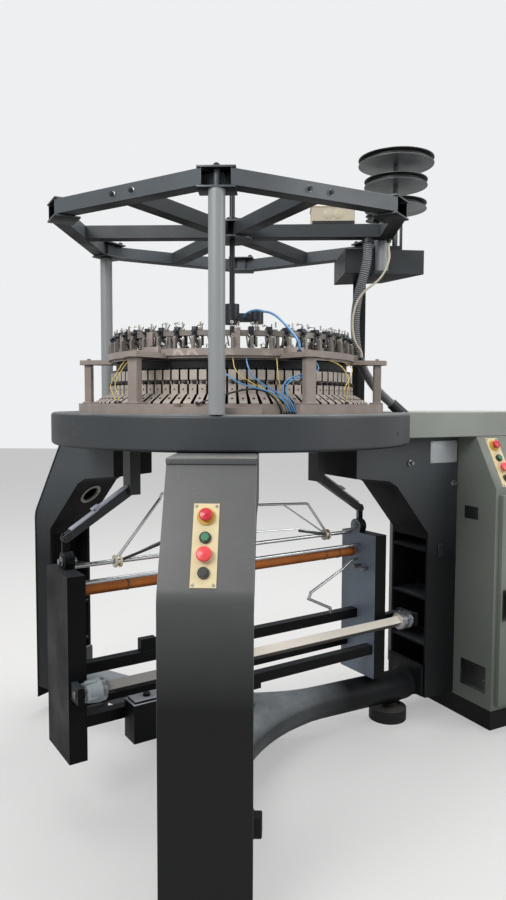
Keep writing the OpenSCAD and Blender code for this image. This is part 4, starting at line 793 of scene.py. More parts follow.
def cover_pick(centre, normal):
    for leg in ("front_leg", "left_leg"):
        c, n = seen_from(turn_z(LEG_ANGLES[leg]), centre, normal)
        if c.x > 0 and abs(c.y) < COVER_HALF:
            # Faces inside the covers, looking inwards or down, get painted shade.
            return 1 if in_shade(n) else 0
    return 0


def box_pick(centre, normal):
    outward = centre.xy.normalized()
    # Side faces of the boxes, in the gaps between them, get painted shade.
    return 1 if abs(normal.z) < 0.5 and abs(normal.xy.dot(outward)) < 0.35 else 0


rounded("side_plates", 0.003, [rotor_shade_black, painted_light_slate], side_pick)
rounded("leg_covers", 0.0025, [enamel_cover, painted_shade_black], cover_pick, edge=edge_highlight)
rounded("bed_ring", 0.0025, [ring_enamel], edge=edge_highlight)
rounded("cam_boxes", 0.001, [cam_metal, painted_shade_black], box_pick)

# %% [markdown]
# ### Winding bar and draw roll
# The square bar takes up the fabric and the covered roll draws it down. The photograph shows the bar a
# little slimmer and the roll a little thicker than the solids, so one function moves the points that lie at
# one distance from an axis. Scaling the objects would also have changed their lengths.

# %% Rounded bar and roll
WIND_B, WIND_Z, BAR_HALF = -0.166, 0.455, 0.020
ROLL_Z, ROLL_R = 0.738, 0.020
BAR_END, BAR_SHAFT = (-0.662, 0.785), (-0.575, 0.711)


def move_out(b, z, distance, slack, step):
    """A change that moves the points at a distance from an axis along the take-down by a step outwards."""
    def change(bm):
        for vert in bm.verts:
            spot = TAKE_DOWN.inverted() @ vert.co
            out = Vector((0, spot.y - b, spot.z - z))
            if abs(out.length - distance) < slack:
                vert.co += TAKE_DOWN.to_3x3() @ (out.normalized() * step)
    return change


def bar_pick(centre, normal):
    x = (TAKE_DOWN.inverted() @ centre).x
    if x < BAR_END[0] or x > BAR_END[1]:
        return 2
    return 1 if x < BAR_SHAFT[0] or x > BAR_SHAFT[1] else 0


slimmer = move_out(WIND_B, WIND_Z, BAR_HALF * math.sqrt(2), 0.0004, -0.0055)
wider = move_out(0, ROLL_Z, ROLL_R, 0.0005, 0.002)
rounded("winding_bar", 0.002, [bar_enamel, turned_steel, black_moulding], bar_pick, change=slimmer)
rounded("draw_roll", 0.002, [roll_cover], change=wider)

# %% [markdown]
# ### Pulleys, cabinet, gearbox and the rest
# The feed pulleys show a dark belt between grey flanges, the cabinet's recessed plinth is painted shade, and
# the upward faces of the take-down's gearbox are painted light, pale. All other bodies have one finish, so a
# list with the width of each bevel is enough.

# %% Rounded bodies of the rest
PULLEY_BOTTOMS = (2.262, 2.182, 2.096)
PULLEY_AXIS = Vector((0.615, 0.136))
BELT_LOW, BELT_HIGH, BELT_R = 0.0045, 0.0215, 0.09
PLINTH_TOP, LID_TOP = 0.099, 0.4


def pulley_pick(centre, normal):
    on_belt = any(BELT_LOW < centre.z - z < BELT_HIGH for z in PULLEY_BOTTOMS)
    return 1 if on_belt and (centre.xy - PULLEY_AXIS).length > BELT_R else 0


rounded("feed_pulleys", 0.001, [pulley_grey, belt_black], pulley_pick)
# The recessed plinth, below PLINTH_TOP, gets painted shade.
rounded("control_cabinet", 0.0015, [cabinet_coat, painted_shade_black], lambda c, n: 1 if c.z < PLINTH_TOP else 0)
# Faces of the gearbox that look up, below the lid height, get painted light.
rounded("takedown_gearbox", 0.003, [rotor_shade_black, painted_light_pale],
        lambda c, n: 1 if n.z > 0.5 and c.z < LID_TOP else 0)
PLAIN_BODIES = [
    ("cross_bars", 0.003, rotor_shade_black), ("takedown_links", 0.002, link_grey),
    ("hexagon_tubes", 0.002, slate_enamel), ("spokes", 0.002, shaded_spoke_enamel),
    ("pulley_housing", 0.002, housing_enamel), ("drive_column", 0.002, rotor_shade_black),
    ("cabinet_door", 0.002, cabinet_coat), ("bridge_table", 0.003, enamel_bridge),
    ("head_columns", 0.002, head_taupe), ("upper_ring", 0.0015, head_taupe),
    ("cam_plate", 0.0015, head_taupe), ("junction_box", 0.004, cream_moulding),
    ("feeder_rail", 0.0015, rail_metal), ("yarn_carriers", 0.0006, rail_metal)]
for name, width, material in PLAIN_BODIES:
    rounded(name, width, [material])

# %% [markdown]
# ### Foot cross
# The foot cross is one casting, whose arms run into the hub in soft curves. A remesh turns its stepped webs
# into one even skin, and a smoothing pass melts the steps away.

# %% Smooth casting
cross = link_mesh("foot_cross_casting", merged_copy("foot_cross"), "frame", cross_casting)
skin = cross.modifiers.new("even_skin", "REMESH")
skin.mode = "VOXEL"
skin.voxel_size = 0.009
skin.use_smooth_shade = True
melt = cross.modifiers.new("melted_steps", "SMOOTH")
melt.factor = 0.6
melt.iterations = 14
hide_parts("foot_cross")
print("foot cross remeshed at", round(skin.voxel_size, 3))

# %% [markdown]
# ## Small pieces
# Three makers cover nearly every small piece: a block between two corners, a round bar between two points,
# and a profile that is spun about an axis. Each can be placed in the frame of a leg, of the take-down or of
# a switch plate.

# %% Makers of small pieces
def block(bm, low, high, place=Matrix(), soft=0.0):
    low, high = Vector(low), Vector(high)
    size = Matrix.Diagonal((*(high - low), 1))
    made = bmesh.ops.create_cube(bm, size=1.0, matrix=place @ Matrix.Translation((low + high) / 2) @ size)
    if soft:
        edges = list({edge for vert in made["verts"] for edge in vert.link_edges})
        bmesh.ops.bevel(bm, geom=edges, offset=soft, affect="EDGES", segments=2, profile=0.5, material=-1)


def bar(bm, start, end, radius, place=Matrix(), sides=12):
    start, end = Vector(start), Vector(end)
    turn = (end - start).to_track_quat("Z", "Y").to_matrix().to_4x4()
    bmesh.ops.create_cone(bm, cap_ends=True, segments=sides, radius1=radius, radius2=radius,
                          depth=(end - start).length,
                          matrix=place @ Matrix.Translation((start + end) / 2) @ turn)


def turned(bm, profile, place=Matrix(), steps=24):
    """Spin pairs of radius and height about the place's own Z."""
    verts = [bm.verts.new(place @ Vector((radius, 0, height))) for radius, height in profile]
    edges = [bm.edges.new(pair) for pair in zip(verts, verts[1:])]
    bmesh.ops.spin(bm, geom=verts + edges, cent=place.translation, axis=place.to_3x3() @ Vector((0, 0, 1)),
                   angle=2 * math.pi, steps=steps, use_merge=True, use_duplicate=False)


# %% [markdown]
# Lists of blocks and bars keep a loop short, and a sleeve is the profile of a ring with a square section.
# When a bmesh is finished, its double points are merged and its normals turned outwards, and edges sharper
# than a set angle stay sharp in the shading.

# %% Helpers of the makers
DOUBLES = 0.00001


def blocks(bm, place, rows):
    """Blocks in one frame, each a low corner, a high corner and an edge radius."""
    for low, high, soft in rows:
        block(bm, low, high, place, soft)


def bars(bm, place, rows):
    """Round bars in one frame, each a start, an end, a radius and a number of sides."""
    for start, end, radius, sides in rows:
        bar(bm, start, end, radius, place, sides)


def sleeve(inner, outer, low, high):
    return [(inner, low), (outer, low), (outer, high), (inner, high), (inner, low)]


def facing(place, direction):
    """A frame at a point whose Z looks along a direction."""
    return Matrix.Translation(place) @ Vector(direction).to_track_quat("Z", "Y").to_matrix().to_4x4()


def small_piece(name, bm, body, material):
    bmesh.ops.remove_doubles(bm, verts=bm.verts, dist=DOUBLES)
    bmesh.ops.recalc_face_normals(bm, faces=bm.faces)
    piece = link_mesh(name, bm, body, material)
    piece.data.set_sharp_from_angle(angle=SHARP)
    print(name, len(piece.data.polygons), "faces on", body)
    return piece


# %% [markdown]
# ### The ring of cam boxes
# Each cam box carries a black stitch-cam knob in its recess, a screw on its slanted foot and two small pegs
# on top. They sit on the same pitch as the boxes of the solid model, 90 to the turn. The frame of a box has
# its X outwards and lies at the foot of the box's front.

# %% Knobs, screws and pegs of the cam boxes
CAM_COUNT = 90
CAM_R, CAM_Z, CAM_HIGH = 0.446, 1.357, 0.107
KNOB_Z, SCREW_Z, PEG_X = 0.0675, 0.046, -0.013
KNOB = [(0, 0.004), (0.0038, 0.004), (0.0052, 0.002), (0.0052, -0.012), (0, -0.012)]
foot_low, foot_high = Vector((0.054, 0, 0.005)), Vector((0.008, 0, 0.031))
foot_normal = Vector((0, 1, 0)).cross(foot_high - foot_low).normalized()
foot_mid = foot_low.lerp(foot_high, 0.45)
knobs, screws, pegs = bmesh.new(), bmesh.new(), bmesh.new()
for i in range(CAM_COUNT):
    box = turn_z(360 / CAM_COUNT * (i + 0.5)) @ Matrix.Translation((CAM_R, 0, CAM_Z))
    turned(knobs, KNOB, box @ facing((-0.002, 0.002, KNOB_Z), (1, 0, 0)), 14)
    block(knobs, (-0.006, -0.0095, KNOB_Z - 0.002), (0.0006, 0.0095, KNOB_Z + 0.0005), box)
    bar(screws, foot_mid, foot_mid + foot_normal * 0.0012, 0.0042, box, 12)
    bar(screws, (-0.0001, 0, SCREW_Z), (0.0008, 0, SCREW_Z), 0.0026, box, 8)
    for side in (-0.0065, 0.0065):
        bar(pegs, (PEG_X, side, CAM_HIGH - 0.001), (PEG_X, side, CAM_HIGH + 0.007), 0.0032, box, 8)
small_piece("cam_knobs", knobs, "frame", black_moulding)
small_piece("cam_screws", screws, "frame", needle_steel)
small_piece("cam_pegs", pegs, "frame", dark_steel)

# %% [markdown]
# ### Needles
# The needles stand in the grooves of the cylinder, with bright tips above its edge and dark butts below. A
# real cylinder holds more needles than the photograph lets one count, so 240 thin bars stand for them. They
# ride on the rotor.

# %% Needles of the cylinder
NEEDLE_COUNT = 240
TIP_R, TIP_LOW, TIP_HIGH = 0.3785, 1.507, 1.516
BUTT_R, BUTT_LOW, BUTT_HIGH = 0.3808, 1.4700, 1.4985
needles, butts = bmesh.new(), bmesh.new()
for i in range(NEEDLE_COUNT):
    turn = turn_z(360 / NEEDLE_COUNT * i)
    bar(needles, (TIP_R, 0, TIP_LOW), (TIP_R, 0, TIP_HIGH), 0.0009, turn, 5)
    bar(butts, (BUTT_R, 0, BUTT_LOW), (BUTT_R, 0, BUTT_HIGH), 0.0011, turn, 5)
small_piece("needle_tips", needles, "rotor", bright_steel)
small_piece("needle_butts", butts, "rotor", dark_steel)

# %% [markdown]
# ### Yarn feeders
# Over every carrier a clamp sits on the feeder rail with its thumb screw, a bent wire and a white ceramic
# eyelet, and a thin finger leads the yarn down to the needles. Small springs and levers stand beside them.
# Two sine waves let each feeder lean and rise a little differently, as hand-set ones do, and give the same
# result on every run.

# %% Feeder clamps, wires and eyelets
FEEDER_COUNT = 45
RAIL_R, RAIL_Z = 0.420, 1.588
COIL = [(0.0026, 0), (0.0036, 0.001), (0.0026, 0.002), (0.0026, 0)]
COIL_TURNS, COIL_PITCH = 5, 0.0034
FINGER_TIP = (-0.030, 0.006, -0.060)
clamps, wires, eyelets, springs = bmesh.new(), bmesh.new(), bmesh.new(), bmesh.new()
for i in range(FEEDER_COUNT):
    rail = turn_z(360 / FEEDER_COUNT * (i + 0.25)) @ Matrix.Translation((RAIL_R, 0, RAIL_Z))
    lean = 0.004 * math.sin(i * 2.4)
    high = 0.019 + 0.005 * math.sin(i * 1.7)
    bend = (0.006, lean * 3, high)
    blocks(springs, rail, [
        ((0.002, 0.012, -0.001), (0.010, 0.026, 0.008 + lean), 0.001),
        ((-0.006, 0.014, -0.052), (0.004, 0.021, -0.020), 0.001)])
    for k in range(COIL_TURNS):
        turned(springs, COIL, rail @ facing((0.007, 0.020, 0.010 + COIL_PITCH * k), (0.2, lean * 40, 1)), 8)
    bars(springs, rail, [
        ((0.002, -0.010, -0.050), (0.012, -0.016, -0.018), 0.0024, 6),
        ((-0.010, 0.010, 0.004), (-0.014, 0.018 + lean, 0.022), 0.0020, 6)])
    blocks(clamps, rail, [
        ((-0.013, -0.008, -0.023), (0.013, 0.008, 0.011), 0.0015),
        ((-0.032, -0.004, 0.001), (-0.012, 0.004, 0.008), 0.001),
        ((-0.030, 0.010, -0.046), (-0.016, 0.019, -0.004), 0.0015)])
    bar(clamps, (0.013, 0, -0.004), (0.024, 0, -0.004), 0.0055, rail, 12)
    bars(wires, rail, [
        ((0, lean, 0.010), bend, 0.0015, 6),
        (bend, (-0.016, lean * 3, high + 0.003), 0.0015, 6),
        ((-0.026, 0, 0.004), FINGER_TIP, 0.0013, 6),
        ((0.015, -0.010, -0.014), (0.006, 0.012, -0.054), 0.0014, 6)])
    turned(eyelets, sleeve(0.0028, 0.0052, -0.0015, 0.0015),
           rail @ facing((-0.019, lean * 3, high + 0.003), (1, 0.3, 0)), 12)
    turned(eyelets, sleeve(0.0015, 0.0036, -0.002, 0.002), rail @ facing(FINGER_TIP, (0.3, 0, 1)), 10)
small_piece("feeder_clamps", clamps, "frame", dark_steel)
small_piece("feeder_wires", wires, "frame", bright_steel)
small_piece("feeder_eyelets", eyelets, "frame", ceramic_white)
small_piece("feeder_springs", springs, "frame", clutter_grey)

# %% [markdown]
# ### Posts of the rail and blocks of the upper ring
# Flat posts hold the feeder rail above the upper ring. Six bolted blocks clasp the ring, and beside each of
# them a column ends in a nut and stands on a pad. They share the taupe paint of the head, so they are one
# piece. The posts stand at uneven angles, set from the photograph where it shows them.

# %% Posts of the rail and blocks of the upper ring
POST_ANGLES = (-145.2, -123.6, -84.5, -28.0, 14.0, 52.0, 95.0, 158.0)
RING_TOP = 1.530
POST_HALF, POST_HIGH = 0.0135, RAIL_Z - 0.002 - RING_TOP
BLOCK_R, BLOCK_LOW, BLOCK_TOP = 0.444, 1.4995, 1.536
COLUMN_R, COLUMN_TOP = 0.537, 1.516
fittings = bmesh.new()
for angle in POST_ANGLES:
    blocks(fittings, turn_z(angle) @ Matrix.Translation((RAIL_R, 0, RING_TOP)), [
        ((0.0085, -POST_HALF, -0.001), (0.0165, POST_HALF, POST_HIGH), 0.0015),
        ((-0.004, -POST_HALF, -0.001), (0.020, POST_HALF, 0.008), 0.0015)])
for i in range(6):
    turn = turn_z(60 * i)
    block(fittings, (BLOCK_R - 0.017, -0.030, BLOCK_LOW), (BLOCK_R + 0.018, 0.030, BLOCK_TOP), turn, 0.002)
    for side in (-0.018, 0.018):
        bar(fittings, (BLOCK_R, side, BLOCK_TOP), (BLOCK_R, side, BLOCK_TOP + 0.0055), 0.006, turn, 6)
    bar(fittings, (COLUMN_R, 0, COLUMN_TOP), (COLUMN_R, 0, COLUMN_TOP + 0.007), 0.0075, turn, 6)
    block(fittings, (COLUMN_R - 0.025, -0.024, CAM_Z), (COLUMN_R + 0.019, 0.024, CAM_Z + 0.006), turn, 0.001)
small_piece("rail_fittings", fittings, "frame", head_taupe)

# %% [markdown]
# ### Switch plates
# Both plates carry the same set: a yellow collar round the emergency stop, dark bezels round two of the
# other buttons and four bright screws. The frame of each plate has its Z pointing out of the plate and its
# X running down the slope. The buttons move on joints of their own, so only the fixed rings round them are
# made here.

# %% Frames of the switch plates
PLATE_LONG, PLATE_WIDE, PLATE_THICK = 0.219, 0.066, 0.0025
BUTTON_AT = [down - PLATE_LONG / 2 for down in (0.0355, 0.092, 0.1375, 0.1825)]
SLOPE_HIGH, SLOPE_LOW = Vector((0.779, 0, 1.207)), Vector((0.950, 0, 0.882))
PLATE_ALONG, PLATE_ASIDE, PLATE_LIFT = 0.63, -0.006, 0.003
CONSOLE_HIGH, CONSOLE_DEEP = 0.210, 0.114
CABINET_PLATE_AT = (1.095, -0.276, 1.12)
slope = SLOPE_HIGH - SLOPE_LOW
plate_at = SLOPE_HIGH.lerp(SLOPE_LOW, PLATE_ALONG) + Vector((0, PLATE_ASIDE, 0))
leg_plate = (turn_z(LEG_ANGLES["front_leg"]) @ Matrix.Translation(plate_at)
             @ Matrix.Rotation(math.pi / 2 + math.atan2(slope.x, slope.z), 4, "Y")
             @ Matrix.Translation((0, 0, PLATE_LIFT)))
cabinet_plate = (turn_z(30) @ Matrix.Translation(CABINET_PLATE_AT)
                 @ Matrix.Rotation(math.atan2(CONSOLE_HIGH, CONSOLE_DEEP), 4, "X") @ turn_z(-90))
for plate in (leg_plate, cabinet_plate):
    print("plate centre", tuple(round(c, 3) for c in plate.translation))

# %% [markdown]
# The rings are turned profiles: pairs of radius and height, from the inside of the foot round to the inside
# of the top, with a small slope at the outer edge that catches the light.

# %% Collars, bezels and screws of the switch plates
COLLAR = [(0.0108, 0), (0.0237, 0), (0.0237, 0.0045), (0.0222, 0.0066), (0.0108, 0.0066)]
BEZEL = [(0.0106, 0), (0.0151, 0), (0.0151, 0.0066), (0.0141, 0.0076), (0.0106, 0.0076)]
SCREW_HEAD = [(0, 0.0026), (0.0024, 0.0026), (0.0039, 0.0012), (0.0039, 0.0)]
SCREW_INSET = 0.007
collars, bezels, plate_screws = bmesh.new(), bmesh.new(), bmesh.new()
for plate in (leg_plate, cabinet_plate):
    face = plate @ Matrix.Translation((0, 0, PLATE_THICK))
    turned(collars, COLLAR, face @ Matrix.Translation((BUTTON_AT[0], 0, 0)), 32)
    for at in (BUTTON_AT[1], BUTTON_AT[3]):
        turned(bezels, BEZEL, face @ Matrix.Translation((at, 0, 0)), 28)
    for x in (SCREW_INSET - PLATE_LONG / 2, PLATE_LONG / 2 - SCREW_INSET):
        for y in (SCREW_INSET - PLATE_WIDE / 2, PLATE_WIDE / 2 - SCREW_INSET):
            turned(plate_screws, SCREW_HEAD, face @ Matrix.Translation((x, y, 0)), 14)
small_piece("stop_collars", collars, "frame", collar_yellow)
small_piece("button_bezels", bezels, "frame", black_moulding)
small_piece("plate_screws", plate_screws, "frame", turned_steel)

# %% [markdown]
# ### Legs, cabinet and bed
# A bare type plate, bright bolts, a bracket, the vent with its louvres, a black block of painted shade in a
# recess on the cabinet's side and the black lock plate behind the door handle stay flat on their faces. Most
# of them sit on the right leg or the cabinet behind it, so they are given in that leg's frame, with X
# outwards and the front face at a negative Y. The rubber ring lines the cable hole of the left leg.

# %% Fittings on the legs and the cabinet
right, left = turn_z(LEG_ANGLES["right_leg"]), turn_z(LEG_ANGLES["left_leg"])
LEG_FACE = -0.117
TYPE_PLATE = ((0.866, -0.1178, 1.112), (1.012, -0.1165, 1.204), 0.0004)
RIVETS = [((u, -0.1178, z), (u, -0.1192, z), 0.003, 10) for z in (1.118, 1.198) for u in (0.872, 1.006)]
VENT_BOLTS = [((1.0184, y, 0.2175), (1.0166, y, 0.2175), 0.0035, 10) for y in (-0.294, -0.168)]
BOSS_AT = [(0.757, 1.117), (0.994, 1.023)]
BOSS = [(0, 0.020), (0.007, 0.020), (0.0085, 0.017), (0.0085, 0.007), (0.013, 0.005), (0.013, 0)]
BRACKET = [((0.914, -0.1225, 0.712), (0.944, -0.1165, 0.768), 0.001),
           ((0.922, -0.1285, 0.722), (0.936, -0.1220, 0.752), 0.001)]
# The first block is painted shade in a recess on the cabinet's side, the second the black lock plate.
RECESSES = [((1.0188, -0.239, 0.879), (1.0199, -0.163, 0.932), 0.0003),
            ((1.052, -0.3524, 0.476), (1.090, -0.3505, 0.605), 0.0004)]
VENT = ((1.0184, -0.301, 0.162), (1.0199, -0.161, 0.273), 0.0004)
LOUVRE_LOW, LOUVRE_PITCH = 0.174, 0.0118
LOUVRES = [((1.0160, -0.288, z), (1.0190, -0.174, z + 0.005), 0.0006)
           for z in (LOUVRE_LOW + LOUVRE_PITCH * k for k in range(8))]
bare, bolts, darks = bmesh.new(), bmesh.new(), bmesh.new()
blocks(bare, right, [TYPE_PLATE])
bars(bolts, right, RIVETS + VENT_BOLTS)
for u, z in BOSS_AT:
    turned(bolts, BOSS, right @ facing((u, LEG_FACE, z), (0, -1, 0)), 20)
blocks(darks, right, BRACKET + RECESSES + [VENT] + LOUVRES)
print("louvres", len(LOUVRES), "rivets", len(RIVETS), "vent bolts", len(VENT_BOLTS))

# %% [markdown]
# A round plug closes a hole in the edge of the bed, and the rubber ring sits on the slope of the left leg,
# a little more than a quarter of the way down. Both are turned profiles that look along the surface they
# sit on.

# %% Plug of the bed and ring of the cable hole
PLUG = [(0, 0.0006), (0.007, 0.0006), (0.007, -0.001)]
PLUG_AT, PLUG_Z = Vector((0.564, -0.323, 0)), 1.261
HOLE_FROM, HOLE_SLOPE, HOLE_ALONG = Vector((0.690, 0, 1.022)), Vector((0.170, 0, -0.207)), 0.27
HOLE_RING = [(0.0375, -0.006), (0.048, -0.006), (0.050, -0.003), (0.050, 0.003), (0.0375, 0.003),
             (0.0375, -0.006)]
rims = bmesh.new()
hole = left @ facing(HOLE_FROM + HOLE_SLOPE * HOLE_ALONG, (HOLE_SLOPE.z, 0, -HOLE_SLOPE.x))
turned(rims, HOLE_RING, hole, 36)
turned(darks, PLUG, facing(PLUG_AT * 1.0004 + Vector((0, 0, PLUG_Z)), PLUG_AT), 20)
small_piece("type_plate", bare, "frame", plate_bare)
small_piece("leg_bolts", bolts, "frame", turned_steel)
small_piece("dark_fittings", darks, "frame", black_moulding)
small_piece("cable_ring", rims, "frame", rubber_pale)

# %% [markdown]
# ### Sockets of the thin tubes
# A tube that ends on a bare plate looks as if it were glued there, so each thin tube gets a push-in socket
# where it leaves the metal. The sockets stand on the first points of the tubes' routes and so follow a
# route that is changed.

# %% Sockets of the thin tubes
SOCKET = [(0.001, 0.0015), (0.0048, 0.0015), (0.0048, 0.007), (0.0038, 0.01), (0.001, 0.01)]
sockets = bmesh.new()
for material, route in THIN_TUBES.values():
    turned(sockets, SOCKET, Matrix.Translation(route[0]), 14)
small_piece("tube_sockets", sockets, "frame", black_moulding)

# %% [markdown]
# ### Rims of the legs
# Where the front and the left leg meet the bed, a flat rim stands out a little all round. It hides the
# joint between the two castings, and a plain block with soft edges is enough for it.

# %% Rim under the bed at the top of the front and the left leg
RIM = ((0.655, -0.121, 1.198), (0.792, 0.121, 1.2155), 0.003)
rim = bmesh.new()
for leg in ("front_leg", "left_leg"):
    blocks(rim, turn_z(LEG_ANGLES[leg]), [RIM])
small_piece("leg_rims", rim, "frame", enamel_cover)

# %% [markdown]
# ### Take-down
# The draw roll carries brown collars, which turn with it. A frame whose Z runs along the roll makes each
# collar a turned profile at one place along the axis.

# %% Collars of the draw roll
COLLAR_AT = (-0.590, -0.427, 0.447, 0.517, 0.590)
ROLL_COLLAR = [(0.0215, -0.005), (0.0236, -0.004), (0.0236, 0.004), (0.0215, 0.005)]


def along_take_down(b, z):
    """A frame whose Z runs along the take-down's length, through a point beside and above its middle."""
    return TAKE_DOWN @ Matrix.Translation((0, b, z)) @ Matrix.Rotation(math.pi / 2, 4, "Y")


roll_collars = bmesh.new()
for a in COLLAR_AT:
    turned(roll_collars, ROLL_COLLAR, along_take_down(0, ROLL_Z) @ Matrix.Translation((0, 0, a)), 28)
small_piece("roll_collars", roll_collars, "draw_roll", collar_brown)

# %% [markdown]
# ### Chucks of the winding bar
# The winding bar ends in a ribbed cup on one side and a ring chuck with clamping screws on the other. Each
# chuck is one turned profile, and its ribs or screws are set round it. Both ride on the winding bar.

# %% Cup and ring chuck
CUP = [(0, -0.640), (0.028, -0.640), (0.034, -0.634), (0.0375, -0.604), (0.0375, -0.592), (0.033, -0.590),
       (0.030, -0.574), (0, -0.574)]
RING_CHUCK = [(0, 0.712), (0.030, 0.712), (0.037, 0.716), (0.037, 0.734), (0.031, 0.738), (0.030, 0.752),
              (0.036, 0.756), (0.036, 0.766), (0.024, 0.772), (0, 0.772)]
CLAMP_AT, FIRST_TURN = 0.745, 20
along_bar = along_take_down(WIND_B, WIND_Z)
cup, ring_chuck = bmesh.new(), bmesh.new()
turned(cup, CUP, along_bar, 28)
for k in range(4):
    rib = along_bar @ turn_z(90 * k + FIRST_TURN)
    block(cup, (0.028, -0.005, -0.640), (0.0395, 0.005, -0.606), rib, 0.0015)
turned(ring_chuck, RING_CHUCK, along_bar, 32)
for k in range(3):
    bars(ring_chuck, along_bar @ turn_z(120 * k + FIRST_TURN), [
        ((0.030, 0, CLAMP_AT), (0.040, 0, CLAMP_AT), 0.0035, 10),
        ((0.039, 0, CLAMP_AT), (0.042, 0, CLAMP_AT), 0.0065, 12)])
small_piece("cup_chuck", cup, "winding", chuck_blue)
small_piece("ring_chuck", ring_chuck, "winding", turned_steel)

# %% [markdown]
# ### Bolts of the side plates
# A bolt with a round head on both sides runs through the ear of each side plate, and two screws with
# hexagon heads stand on the inside of the far plate. They turn with the plates, on the rotor.

# %% Bolts through the ears
EAR_IN, EAR_OUT, EAR_Z = 0.616, 0.653, 0.840
EAR_HEAD = [(0.0001, 0.012), (0.009, 0.012), (0.0095, 0.004), (0.016, 0.003), (0.016, 0), (0.0001, 0)]
ears = bmesh.new()
for side in (-1, 1):
    for a, out in ((EAR_IN, -side), (EAR_OUT, side)):
        turned(ears, EAR_HEAD, TAKE_DOWN @ facing((side * a, 0, EAR_Z), (out, 0, 0)), 20)
    bar(ears, (side * EAR_IN, 0, EAR_Z), (side * EAR_OUT, 0, EAR_Z), 0.0075, TAKE_DOWN, 16)
for b, z in ((-0.075, 0.672), (-0.030, 0.676)):
    bars(ears, TAKE_DOWN, [
        ((0.586, b, z), (0.6185, b, z), 0.008, 14),
        ((0.580, b, z), (0.5875, b, z), 0.0115, 6)])
small_piece("ear_bolts", ears, "rotor", turned_steel)

# %% [markdown]
# ### Links
# Flat bars lie on the two slanted links of the take-down, their pale finish painted light on the links' tops.
# Their frame starts at the upper end of a link, with its X running down the link and its Z standing on it, so
# that each bar is a plain block.

# %% Bars on the links
LINK_LOW, LINK_HIGH = Vector((0.640, 0, 0.915)), Vector((0.404, 0, 1.066))
link_run = LINK_LOW - LINK_HIGH
link_long = link_run.length
link_frame = Matrix.Translation(LINK_HIGH) @ Matrix.Rotation(math.atan2(-link_run.z, link_run.x), 4, "Y")
strips = bmesh.new()
for side in (0, 180):
    blocks(strips, TAKE_DOWN @ turn_z(side) @ link_frame, [
        ((0.010, -0.012, 0.014), (link_long * 0.52, 0.012, 0.022), 0.001),
        ((link_long * 0.50, -0.014, 0.012), (link_long * 0.90, 0.014, 0.0175), 0.001),
        ((link_long * 0.46, -0.012, 0.022), (link_long * 0.56, 0.012, 0.028), 0.001)])
# Painted light: the pale bars on the links.
small_piece("link_bars", strips, "rotor", painted_light_pale)

# %% [markdown]
# ### Spreader bow
# Cream discs guide the fabric where the bow is held, and two thin lower arms brace it. They are made where
# the bow stands at rest and ride on the bow, so they swing with it.

# %% Discs and lower arms of the bow
BOW_B, BOW_Z = 0.028, 0.812
BOW_DISC = [(0.0172, 0), (0.0215, 0.001), (0.0225, 0.004), (0.0215, 0.007), (0.0172, 0.008)]
discs, lower_arms = bmesh.new(), bmesh.new()
for a in (-0.452, 0.475):
    for side in (-0.009, 0.009):
        turned(discs, BOW_DISC, along_take_down(BOW_B, BOW_Z) @ Matrix.Translation((0, 0, a + side)), 28)
bars(lower_arms, TAKE_DOWN, [((-0.436, 0.015, 0.818), (-0.287, 0.020, 0.857), 0.0055, 8),
                             ((0.467, 0.015, 0.818), (0.334, 0.022, 0.843), 0.0055, 8)])
small_piece("bow_discs", discs, "bow", cream_disc)
small_piece("bow_arms", lower_arms, "bow", dark_steel)

# %% [markdown]
# ### Overhead joints
# At each corner of the hexagon a short plate above and one below hold the two tubes, with a web and a round
# bar between them. The tubes are bolted through their outer faces. These plates and bolts replace the wider
# ones of the solids. One function makes a bolt with its washer, and its size sets all of its measures.

# %% Corner plates, hub plates and bolts
CORNER, TUBE_FACE, HUB_BOLT_R, HUB_PLATE_R = 0.6491, 0.5872, 0.060, 0.080
HEX_LOW, HEX_TOP, PLATE_T = 1.960, 2.008, 0.006
WASHER_T, WASHER_TOP = 0.0018, 0.002
corner_plates, corner_bolts, washers = bmesh.new(), bmesh.new(), bmesh.new()


def hexagon_bolt(place, size):
    turned(washers, [(0.001, 0), (size * 1.25, 0), (size * 1.25, 0.0012), (size * 1.1, WASHER_TOP),
                     (0.001, WASHER_TOP)], place, 20)
    bars(corner_bolts, place, [
        ((0, 0, WASHER_T), (0, 0, WASHER_T + size * 0.65), size, 6),
        ((0, 0, WASHER_T + size * 0.6), (0, 0, WASHER_T + size * 0.95), size * 0.5, 10)])


for k in range(6):
    corner = turn_z(60 * k + 30) @ Matrix.Translation((CORNER, 0, 0))
    for z in (HEX_LOW - PLATE_T, HEX_TOP):
        block(corner_plates, (-0.078, -0.055, z), (0.006, 0.055, z + PLATE_T), corner, 0.0008)
    block(corner_plates, (-0.049, -0.019, HEX_LOW), (-0.043, 0.019, HEX_TOP), corner)
    bar(corner_plates, (-0.022, 0, HEX_LOW), (-0.022, 0, HEX_TOP), 0.010, corner, 16)
    for x, y in ((-0.062, -0.040), (-0.062, 0.040), (-0.010, 0)):
        hexagon_bolt(corner @ Matrix.Translation((x, y, HEX_TOP + PLATE_T)), 0.009)
    for side in (-0.038, 0.038):
        hexagon_bolt(turn_z(60 * k) @ facing((TUBE_FACE, side, (HEX_LOW + HEX_TOP) / 2), (1, 0, 0)), 0.0085)
    hexagon_bolt(turn_z(60 * k) @ Matrix.Translation((HUB_BOLT_R, 0, HEX_TOP + PLATE_T)), 0.008)
for z in (HEX_LOW - PLATE_T, HEX_TOP):
    turned(corner_plates, sleeve(0.0112, HUB_PLATE_R, z, z + PLATE_T), Matrix(), 40)
joint_piece = small_piece("corner_plates", corner_plates, "frame", slate_enamel)
bolt_piece = small_piece("corner_bolts", corner_bolts, "frame", dark_steel)
small_piece("corner_washers", washers, "frame", turned_steel)
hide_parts("joint_plates")
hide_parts("frame_bolts")

